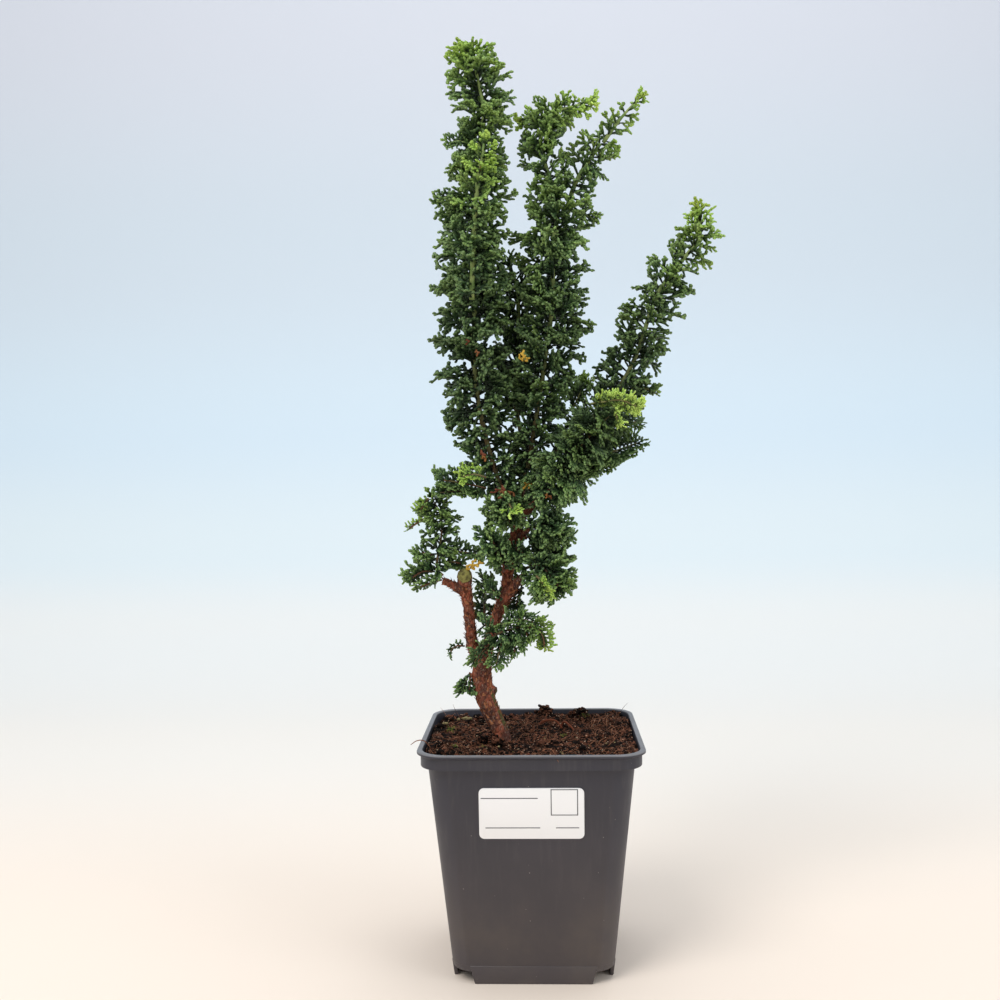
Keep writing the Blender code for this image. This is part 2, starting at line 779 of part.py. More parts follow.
def make_root_hole(collection):
    """The trunk's own foot grown by the gap, for the hole that it stands in."""
    path = smooth_path(TRUNK[:ROOT_POINTS], WOOD_STEP)
    for row in path:
        row.w += 1.5 * GAP
    path[0] -= Vector((0, 0, 2 * GAP, 0))
    return add_tube("root_hole", path, collection, 3)


# Leafy stems


def column_bmesh(points, ends, chance, clip):
    """A column of fronds: a ring drawn up along the stem, thin at the stem itself and wide at each collar
    of fronds, which rise along it, and most where the stem ends. Every third point of a wide ring is the
    notch between two fronds, and clip shortens what would reach another stem."""
    reach = points[len(points) // 2][3]
    path = smooth_path(points, WHORL_STEP * reach)
    sides = 3 * max(4, round(2 * math.pi * reach * math.cos(WHORL_RISE) / FROND_ARC))
    bm = bmesh.new()
    ring = bmesh.ops.create_circle(bm, segments=sides, radius=1)["verts"]
    rim = bm.edges[:]
    bm.faces.new(ring)
    stems = directions(path)
    across = stems[0].orthogonal().normalized()
    for i, (row, stem) in enumerate(zip(path, stems)):
        across.rotate(stems[max(i - 1, 0)].rotation_difference(stem))
        thin = core_radius(i / (len(path) - 1), row.w)
        arms = [across.copy() for _ in range(sides)]
        for step, arm in enumerate(arms):
            arm.rotate(Matrix.Rotation(step * 2 * math.pi / sides, 3, stem))
        if i:
            ring, rim = new_ring(bm, rim)
        for vert, arm in zip(ring, arms):
            vert.co = row.xyz + arm * thin
        if i == len(path) - 1:
            break
        ring, rim = new_ring(bm, rim)
        base_rise = WHORL_TIP_RISE if ends and i == len(path) - 2 else WHORL_RISE
        for step, (vert, arm) in enumerate(zip(ring, arms)):
            rise = base_rise + chance.uniform(-WHORL_UNEVEN, WHORL_UNEVEN)
            length = row.w / math.cos(WHORL_RISE) * chance.uniform(*FROND_LENGTHS)
            out = arm * math.cos(rise) + stem * math.sin(rise)
            vert.co = clip(row.xyz, out * length * FROND_SHAPE[(step + i) % 3])
    bmesh.ops.contextual_create(bm, geom=rim)
    bmesh.ops.triangulate(bm, faces=bm.faces[:])
    return bm


def spray_bmesh(path, tilt, chance, clip):
    """A flat spray: a thin blade along its stem, wide at each pair of leaflets and narrow between."""
    bm = bmesh.new()
    ring = bmesh.ops.create_circle(bm, segments=4, radius=1)["verts"]
    rim = bm.edges[:]
    bm.faces.new(ring)
    for i, (row, stem) in enumerate(zip(path, directions(path))):
        side = stem.cross(Vector((0, 0, 1))).normalized()
        side.rotate(Matrix.Rotation(tilt, 3, stem))
        leaflet = i % 2 == 1
        last = i == len(path) - 1
        sweep = stem * (LEAFLET_SWEEP * row.w if leaflet and not last else 0)
        corners = []
        for way in (1, -1):
            half = row.w * (chance.uniform(*LEAFLET_LENGTHS) if leaflet and not last else LEAFLET_NOTCH)
            corners.append(clip(row.xyz, side * way * half + sweep))
        if i:
            ring, rim = new_ring(bm, rim)
        flat = stem.cross(side) * SPRAY_THICK * (SPRAY_END if last else 1)
        places = (corners[0], row.xyz + flat, corners[1], row.xyz - flat)
        for vert, place in zip(ring, places):
            vert.co = place
    bmesh.ops.contextual_create(bm, geom=rim)
    bmesh.ops.triangulate(bm, faces=bm.faces[:])
    return bm


class Sharing:
    """Tells which leafy stem a point belongs to, by distance in units of each stem's own reach."""

    def __init__(self, stems):
        self.places = []
        self.owners = []
        for name, paths in stems.items():
            for _, points in paths:
                for row in smooth_path(points, FINE_STEP):
                    self.places.append(row)
                    self.owners.append(name)
        self.places = np.array(self.places)
        self.owners = np.array(self.owners)

    def clip_for(self, name, obstacles):
        """Gives a function that shortens an arm from a stem until it stays on that stem's side and clear
        of the solids given."""
        mine = self.owners == name
        rival = ~np.isin(self.owners, (name, name + "_tip", name.removesuffix("_tip")))

        def clip(start, arm):
            for share in CLIP_SHARES:
                point = start + arm * share
                away = np.linalg.norm(self.places[:, :3] - np.array(point), axis=1) / self.places[:, 3]
                near = any(tree.find_nearest(point, CLIP_CLEAR)[0] for tree in obstacles)
                if not near and away[mine].min() < away[rival].min() - CLIP_MARGIN:
                    break
            return point

        return clip


def core_radius(share, reach):
    """How thick the stem under the fronds is: thin where it starts and ends, thickest along its middle."""
    swell = min(1, CORE_START + CORE_SWELL * share, CORE_END + CORE_SWELL * (1 - share))
    return max(CORE_LEAST, CORE_SHARE * reach * swell)


def core_path(points):
    path = smooth_path(points, CORE_STEP)
    for i, row in enumerate(path):
        row.w = core_radius(i / (len(path) - 1), row.w)
    return path


def directions(path):
    """The stem's direction at each point of a path."""
    ends = [path[0], *path, path[-1]]
    return [(after.xyz - before.xyz).normalized() for before, after in zip(ends, ends[2:])]


def make_stalk(name, points, carrier, collection):
    """The bare wood between a leafy stem's first fronds and what carries it, or nothing where they meet."""
    start, after = [Vector(point).xyz for point in points[:2]]
    seat = carrier.find_nearest(start)[0]
    away = start - seat
    if away.length < STALK_LEAST:
        return []
    foot = seat + away.normalized() * STALK_GAP
    head = start + (after - start).normalized() * STALK_SINK
    path = [Vector((*place, radius)) for place, radius in zip((foot, head), STALK_RADII)]
    return [add_tube(name + "_stalk", path, collection, 0)]


def make_stem(name, paths, carrier, clip, collection):
    """A leafy stem with the fronds all round it and at its tips, fused in one solid."""
    chance = random.Random(f"{SEED} {name}")
    parts = []
    for kind, points in paths:
        if kind == "column":
            ends = name + "_tip" not in STEMS
            bm = column_bmesh(points, ends, chance, clip)
        else:
            path = smooth_path(points, LEAFLET_STEP / 2)
            bm = spray_bmesh(path, chance.choice((-1, 1)) * SPRAY_TILT, chance, clip)
        parts.append(object_from(f"{name}_{len(parts)}", bm, collection))
    body, *more = parts
    body.name = name
    more += make_stalk(name, paths[0][1], carrier, collection)
    if more:
        boolean(body, more, "UNION", "MANIFOLD")
        keep_main_body(body)
    return body


def surface_of(obj):
    bm = bmesh.new()
    bm.from_mesh(obj.data)
    tree = BVHTree.FromBMesh(bm)
    bm.free()
    return tree


def main():
    for obj in list(bpy.data.objects):
        bpy.data.objects.remove(obj)
    model = new_collection(OBJECT)
    workshop = new_collection("cutters")
    workshop.hide_render = True
    origin = bpy.data.objects.new("pot_origin", None)
    origin.location = (POT_X, 0, 0)
    model.objects.link(origin)

    pot = make_pot(workshop)
    soil = make_soil(workshop)
    boolean(soil, [make_root_hole(workshop)], "DIFFERENCE")
    keep_main_body(soil)
    label = make_label(workshop)
    trunk = make_trunk(workshop)
    finish(pot, model, origin, new_material("pot plastic", POT_COLOUR, 0.55))
    finish(soil, model, origin, new_material("potting mix", SOIL_COLOUR, 0.95))
    finish(label, model, origin, new_material("sticker", LABEL_COLOUR, 0.45))
    finish(trunk, model, origin, new_material("bark", BARK_COLOUR, 0.85))

    sharing = Sharing(STEMS)
    guides = {}
    for name, paths in STEMS.items():
        tubes = [add_tube(name + "_core", core_path(points), workshop, 1) for _, points in paths]
        guides[name] = [surface_of(tube) for tube in tubes]
        for tube in tubes:
            bpy.data.objects.remove(tube)
    surfaces = {"trunk": surface_of(trunk)}
    for name, paths in STEMS.items():
        tip = name.endswith("_tip")
        carrier = surfaces[name.removesuffix("_tip") if tip else CARRIERS.get(name, "trunk")]
        others = [tree for other, trees in guides.items() if other != name for tree in trees]
        clip = sharing.clip_for(name, [*surfaces.values(), *others])
        stem = make_stem(name, paths, carrier, clip, workshop)
        finish(stem, model, origin, new_material(name + " leaf", FRESH_GREEN if tip else DARK_GREEN, 0.6))
        surfaces[name] = surface_of(stem)


main()
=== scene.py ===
"""The looks of a hinoki cypress bonsai in its square nursery pot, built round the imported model."""

import math
import random

import bmesh
import bpy
import numpy as np
from mathutils import Matrix, Vector, noise


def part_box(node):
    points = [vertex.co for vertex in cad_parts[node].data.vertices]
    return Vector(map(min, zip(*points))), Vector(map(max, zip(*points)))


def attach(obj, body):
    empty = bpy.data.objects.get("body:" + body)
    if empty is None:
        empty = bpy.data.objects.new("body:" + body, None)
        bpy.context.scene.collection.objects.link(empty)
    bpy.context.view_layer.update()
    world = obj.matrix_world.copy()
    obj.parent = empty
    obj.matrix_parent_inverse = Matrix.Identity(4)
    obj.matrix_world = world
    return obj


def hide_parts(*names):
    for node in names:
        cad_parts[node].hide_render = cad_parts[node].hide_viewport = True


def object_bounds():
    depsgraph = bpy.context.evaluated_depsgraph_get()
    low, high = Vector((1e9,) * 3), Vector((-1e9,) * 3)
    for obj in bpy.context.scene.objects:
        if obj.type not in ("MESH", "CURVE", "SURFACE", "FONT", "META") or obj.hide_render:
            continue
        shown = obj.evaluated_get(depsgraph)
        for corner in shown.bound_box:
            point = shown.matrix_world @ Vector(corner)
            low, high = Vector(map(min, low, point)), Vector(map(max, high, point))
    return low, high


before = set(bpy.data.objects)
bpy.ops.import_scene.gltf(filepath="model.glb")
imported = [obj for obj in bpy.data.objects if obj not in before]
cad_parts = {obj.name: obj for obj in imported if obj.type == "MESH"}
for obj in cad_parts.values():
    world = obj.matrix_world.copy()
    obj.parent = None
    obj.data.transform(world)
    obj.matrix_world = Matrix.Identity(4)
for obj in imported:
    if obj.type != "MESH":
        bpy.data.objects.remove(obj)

CAD_BOX = [list(corner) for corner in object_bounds()]
SEED = 7
noise.seed_set(SEED)

# Lengths below are millimetres from the middle of the pot's underside, with -Y towards the viewer
MM = 0.001
POT_LOW, POT_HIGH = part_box("pot")
ORIGIN = Vector(((POT_LOW.x + POT_HIGH.x) / 2, (POT_LOW.y + POT_HIGH.y) / 2, 0))
TO_WORLD = Matrix.Translation(ORIGIN) @ Matrix.Scale(MM, 4)
BOX_LOW, BOX_HIGH = (TO_WORLD.inverted() @ Vector(corner) for corner in CAD_BOX)

# Pot
LIP_HALF = (POT_HIGH.x - POT_LOW.x) / 2 / MM
POT_HEIGHT = POT_HIGH.z / MM
LIP_TOP = POT_HIGH.z
BAND_HALF = 53.3
BAND_HEIGHT = 8.0
BAND_Z = POT_HEIGHT - BAND_HEIGHT
BODY_TOP_HALF = 50.0
BODY_BOTTOM_HALF = 39.7
FLOOR_Z = 6.3
WALL = 1.3
CORNER_RADIUS = 10.0
CORNER_STEPS = 10
FOOT_HALF_LENGTH = 28.5
FOOT_END_SLANT = 2.5
FOOT_THICK = 1.8
LIP_THICK = 1.5
LIP_WALL = 0.8
SKIRT_TOP = 9.3
SKIRT_PROUD = 0.12
LEDGE = 0.16
HOLE_RADIUS = 3.0
HOLE_RING = 24.0
HOLE_COUNT = 9

# Sticker on the front wall, with ruled lines and an empty box for writing on
LABEL_SIZE = (50.0, 25.0)
LABEL_THICK = 0.6
LABEL_CORNER = 2.5
LABEL_HEIGHT = 86.0
LABEL_CLEAR = 0.02
INK_THICK = 0.03
INK_LINES = ((-10.5, 7.6, 27.0), (-9.0, -7.0, 26.0), (17.0, -7.0, 11.0))
INK_LINE_WIDTH = 0.45
INK_BOX = (15.6, 5.6, 12.5)

# Potting mix
SOIL_LEVEL = 110.3
SOIL_MOUND = 1.5
SOIL_RISE = 2.6
SOIL_LUMP = 2.6
SOIL_LUMP_SIZE = 11.0
SOIL_CELLS = 124
SOIL_SPREAD = 49.0
GAP = 0.3
CRUMBS = 1900
CRUMB_SIZES = (0.35, 0.8)
LUMPS = 90
LUMP_SIZES = (0.9, 1.9)
SPECK_SIZE = 0.62
ROUNDER_SIZE = 0.95
HEAP_CRUMBS = 11
HEAP_SIZES = (0.4, 1.25)
HEAP_REACH = (0.3, 0.95)
HEAP_SHAPE = (1.25, 1.0, 0.8)
# Where crumbs are heaped, and how far each heap spreads
HEAPS = (
    (5.9, 44, 117.6, 3), (5.2, 44, 115, 3.4), (7.2, 44, 115.2, 3), (24, 43, 115, 2.6),
    (28, 43.5, 116, 2.4), (20.5, 43, 113.2, 2), (32, 42, 113, 2.2), (44, 38, 112.6, 2.6),
    (47.5, 27, 113, 2.4), (48, 14, 112.6, 2.2), (47.5, 2, 112.2, 2), (-45, 38, 112.4, 2.2),
    (-38, 42, 112.8, 2.6), (-30, 43, 112.6, 2), (-11, 42, 113.2, 2.2), (-2.5, 43, 113.8, 2.2),
    (12, 43, 113.2, 2), (-19, -8.5, 112.4, 2.5), (-16.5, -13, 111.9, 2.3), (-22, -4, 112.3, 2.4),
    (-12, -17.5, 111.4, 2.2), (-17.8, -16, 113.2, 3.4), (-21.5, -12.5, 113.4, 3.2), (-14.5, -17.5, 112, 2.6),
    (-24, -9, 112.6, 2.2), (40, 30, 112.8, 2), (36, 40, 112.8, 1.8), (-4, -18, 111.6, 1.6),
)
# Which tints among the crumbs have another colour
SOIL_TINTS = (
    (0.45, 0.80, (0.140, 0.054, 0.032)),
    (0.86, 0.89, (0.190, 0.060, 0.032)),
    (0.935, 0.945, (0.120, 0.110, 0.040)),
    (0.965, 0.975, (0.400, 0.290, 0.190)),
)
# Loose fibres, a bundle of them at the right, and the single ones that hang over the rim
FIBRES = 520
FIBRE_LENGTHS = (3, 13)
FIBRE_RADII = (0.05, 0.15)
FIBRE_LIMIT = 50
BUNDLE = 22
HAIRS = (
    ((-48, -37, 114, 0.2), (-51.5, -38.5, 118.5, 0.24), (-55, -40, 119, 0.22), (-58, -41, 117.2, 0.14)),
    ((-40, 41, 113, 0.14), (-43, 44, 117, 0.12), (-44, 45, 119.5, 0.06)),
    ((2, -45, 112, 0.2), (6, -50, 116.5, 0.22), (10, -53, 117.5, 0.2), (13, -54.4, 112, 0.12)),
    ((46, 42, 112, 0.15), (50, 44, 117, 0.13), (53, 45, 120, 0.06)),
    ((-46, 44, 111, 0.15), (-49, 45, 115, 0.12), (-51, 44, 118, 0.06)),
)
# Two bare roots that show on the mix, as place and radius
ROOTS = (
    ((3, 20, 111, 0.5), (5, 20, 114.5, 0.65), (9, 19, 116, 0.7), (13, 18, 115.5, 0.6), (16, 17, 112, 0.45)),
    ((15, 21, 111, 0.5), (17, 20, 114.8, 0.6), (20, 17, 113.5, 0.6), (23, 14, 110.5, 0.45)),
)
# Cream grains that show, as place and size, and how many smaller ones lie between them
LOOSE_GRAINS = 14
LOOSE_GRAIN_SIZES = (0.3, 0.7)
GRAIN_SPREAD = 47
GRAINS = (
    (-36.7, 40, 1.5), (-34.8, 41, 1.2), (-37.5, 38, 1.1), (-40.5, 38, 1.1), (-48.2, 36, 0.9), (-46, 22, 0.9),
)
# Tufts of moss, as place and spread
MOSS = ((29, 42, 1.6), (-43, 10, 1.3), (-41, 14, 0.9), (16, 5, 0.9), (-24, -22, 0.8), (-38, -28, 0.7))

# Wood: the cut stub faces the viewer, and small spurs stand on the left limb
WOOD_VOXEL = 0.58
CUT_REACH = 4.6
CUT_FACING = 0.35
STUB = ((-32.9, -9.6, 192.2, 3.3), (-32.7, -13.4, 195.6, 3.7))
KNOBS = ((-19.2, -8.4, 137.3, 1.9), (-32.7, -12.6, 195.4, 3.7))

# Dry fronds: place, length, slant in the picture and how golden
DEAD_LEAVES = (
    (-1.5, -12.5, 304.5, 3.6, 100, 1), (-1.8, -12, 303.5, 3.2, 150, 1), (-1.2, -12, 303.5, 3, 40, 0.9),
    (-0.7, -12, 244.5, 4.5, -90, 0.8), (-0.2, -12, 243.5, 4, -70, 0.6), (-13.3, -15, 241.5, 5, -60, 0),
    (-12, -15, 240, 5, -100, 0.1), (-14.5, -15, 239.5, 4, -140, 0), (-10.5, -14.5, 238.5, 4, -20, 0.1),
    (-23.6, -14, 259.5, 4, -80, 0), (-23, -14, 257, 3.5, -50, 0.2), (-29.4, -15, 315.5, 3, -90, 0),
    (-25.4, -15, 309.5, 3, -60, 0.1), (9.2, -22.5, 237.5, 2.4, -90, 0.2), (9.8, -22, 236.4, 2, -30, 0.1),
    (24.5, -17, 264, 4, -60, 0), (25.5, -17, 262, 3.5, -120, 0), (-31.9, -14, 199, 4, 60, 1),
    (-30, -14, 200, 4.5, 30, 1), (-27.5, -13.5, 201.5, 3.5, 10, 0.9), (-29, -13.5, 200.6, 3.5, 75, 1),
    (-21, -19, 399.5, 2.6, -90, 0.1), (-20, 12, 330, 3, 120, 0), (10, 21, 290, 3, 60, 0.2),
)

# Studio, in metres. The sweep is a sheet that lies under the pot and bends up behind it
SWEEP_HALF_WIDTH = 3.0
SWEEP_FRONT = -2.5
SWEEP_HEIGHT = 3.0
SWEEP_STEPS = 16
SWEEP_BACK = 1.3
SWEEP_BEND = 0.7
SWEEP_TONES = (
    (0.05, 0.14, (0.715, 0.787, 0.823)),
    (0.14, 0.32, (0.645, 0.750, 0.836)),
    (0.32, 0.60, (0.632, 0.706, 0.782)),
    (0.60, 1.00, (0.655, 0.682, 0.756)),
)
LIGHTS = (
    ("key", (-0.9, -1.1, 1.7), (0, 0, 0.25), 1.1, 21.5, (1.0, 0.98, 0.95)),
    ("fill", (1.4, -0.9, 0.9), (0, 0, 0.2), 1.2, 7.0, (0.93, 0.97, 1.0)),
    ("top", (0.2, 0.3, 2.1), (0, 0, 0.2), 1.4, 12.0, (0.97, 0.99, 1.0)),
)
WORLD_COLOUR = (0.90, 0.96, 1.0)
WORLD_STRENGTH = 0.6

# The photograph's own view, fitted to the corners of the pot
CAMERA_TILT = math.radians(1.349)
CAMERA_TURN = math.radians(-2.072)
CAMERA_ROLL = math.radians(-0.717)
CAMERA_LENS = 41.54
CAMERA_SENSOR = 36
CAMERA_PLACE = (0.0065637, -0.592115, 0.247749)

# Matt finishes: roughness, dark and light tone, how fine their grain is and how deep
FINISHES = {
    "bark flakes": (0.8, (0.100, 0.034, 0.020), (0.440, 0.180, 0.085), 800.0, 0.0002),
    "root fibres": (0.85, (0.050, 0.017, 0.010), (0.440, 0.200, 0.115), 500.0, 0.0002),
    "orange roots": (0.7, (0.190, 0.055, 0.028), (0.330, 0.120, 0.060), 700.0, 0.0003),
    "cream grains": (0.8, (0.240, 0.190, 0.090), (0.600, 0.520, 0.330), 900.0, 0.0003),
    "moss": (0.8, (0.050, 0.075, 0.018), (0.210, 0.230, 0.050), 900.0, 0.0002),
}
# Heights in metres between which the crown's own shade sets in, and between which it ends
CROWN_SHADE_LOW = (0.235, 0.275)
CROWN_SHADE_HIGH = (0.30, 0.38)

# The wood's paths, as place and radius. The first limb ends in the cut stub
TRUNK = [
    (-8.5, -11, 66, 3), (-10, -10.8, 90, 3.1), (-12.4, -10.3, 106, 3.3), (-15.4, -10, 116, 3.8),
    (-21, -9, 128, 4.4), (-24, -8, 137, 4.8), (-25, -6, 145, 4.8), (-24.5, -5, 153, 4.2),
]
LIMBS = [
    [
        (-25, -5.5, 149, 3.4), (-29.5, -6, 160, 2.8), (-30.5, -7, 170, 2.5), (-31.8, -8, 184, 2.6),
        (-32.7, -9.2, 191, 3.1), (-33.5, -11, 197, 3.4),
    ],
    [(-32, -8, 186, 2.1), (-38, -9, 190.6, 1.9), (-44, -9, 193.4, 1.5)],
    [
        (-24.5, -5, 151, 3.4), (-21, -3, 162, 3), (-18, -2, 172, 2.8), (-14, -2, 181, 2.6),
        (-9, -4, 188, 2.1), (-4, -7, 195, 1.4),
    ],
    [
        (-15, -2, 179, 2.8), (-12, 1, 188, 2.8), (-11, 3, 200, 2.7), (-8, 4, 213, 2.6), (-6, 4, 222, 2.6),
        (-4.5, 5.2, 232, 2.2),
    ],
    [(-6.5, 4, 220, 2.4), (-9.5, 3.7, 229, 2.2)],
    [(-6, 4, 222, 1.8), (0, -1, 229, 1.7), (5.5, -5.5, 233.5, 1.5)],
    [(-8, 4, 213, 1.4), (-4, 0, 216, 1.3), (0, -4, 219, 1.2)],
    [(-11, 3, 200, 1.4), (-13, 0, 203, 1.3), (-15, -3, 206, 1.2)],
    [(-11.5, 1.5, 196, 1.3), (-13, -2.8, 201, 1.1)],
    [(-8, 4, 213, 1.4), (-1.6, 4.3, 214.4, 1.1)],
    [(-11.5, 2, 195, 1.4), (-11, 7, 198, 1.3), (-11, 11, 201, 1.2)],
    [(-8, 4, 212, 1.4), (-7, 8, 214, 1.3), (-6.5, 12, 217, 1.2)],
    [(-24.5, -6, 153, 1.4), (-22.5, -9, 157, 1.3), (-21, -11, 160, 1.1)],
    [(-29, -6, 159, 1.2), (-33, -7.3, 160, 1)],
    [(-25, -6.5, 146, 1.3), (-31, -8.2, 144.5, 1)],
    [(-20.5, -3, 163, 1.3), (-21.5, 1, 165, 1.2), (-22.5, 4.5, 167, 1.1)],
    [(-15, -2, 179, 1.2), (-16.5, -5, 184, 1)],
]
# Where the bark has flakes that stand off, with how many there are and their steepest lift
SCALES = (
    (TRUNK[3:], 2.2, 36), (LIMBS[0][:-1], 4.4, 62), (LIMBS[2], 3.2, 48), (LIMBS[3], 3.2, 48),
    (LIMBS[1], 3.4, 52),
)
SCALE_LENGTHS = (1.5, 2.9)
SCALE_WIDTHS = (0.9, 1.7)
SCALE_THICK = 0.55

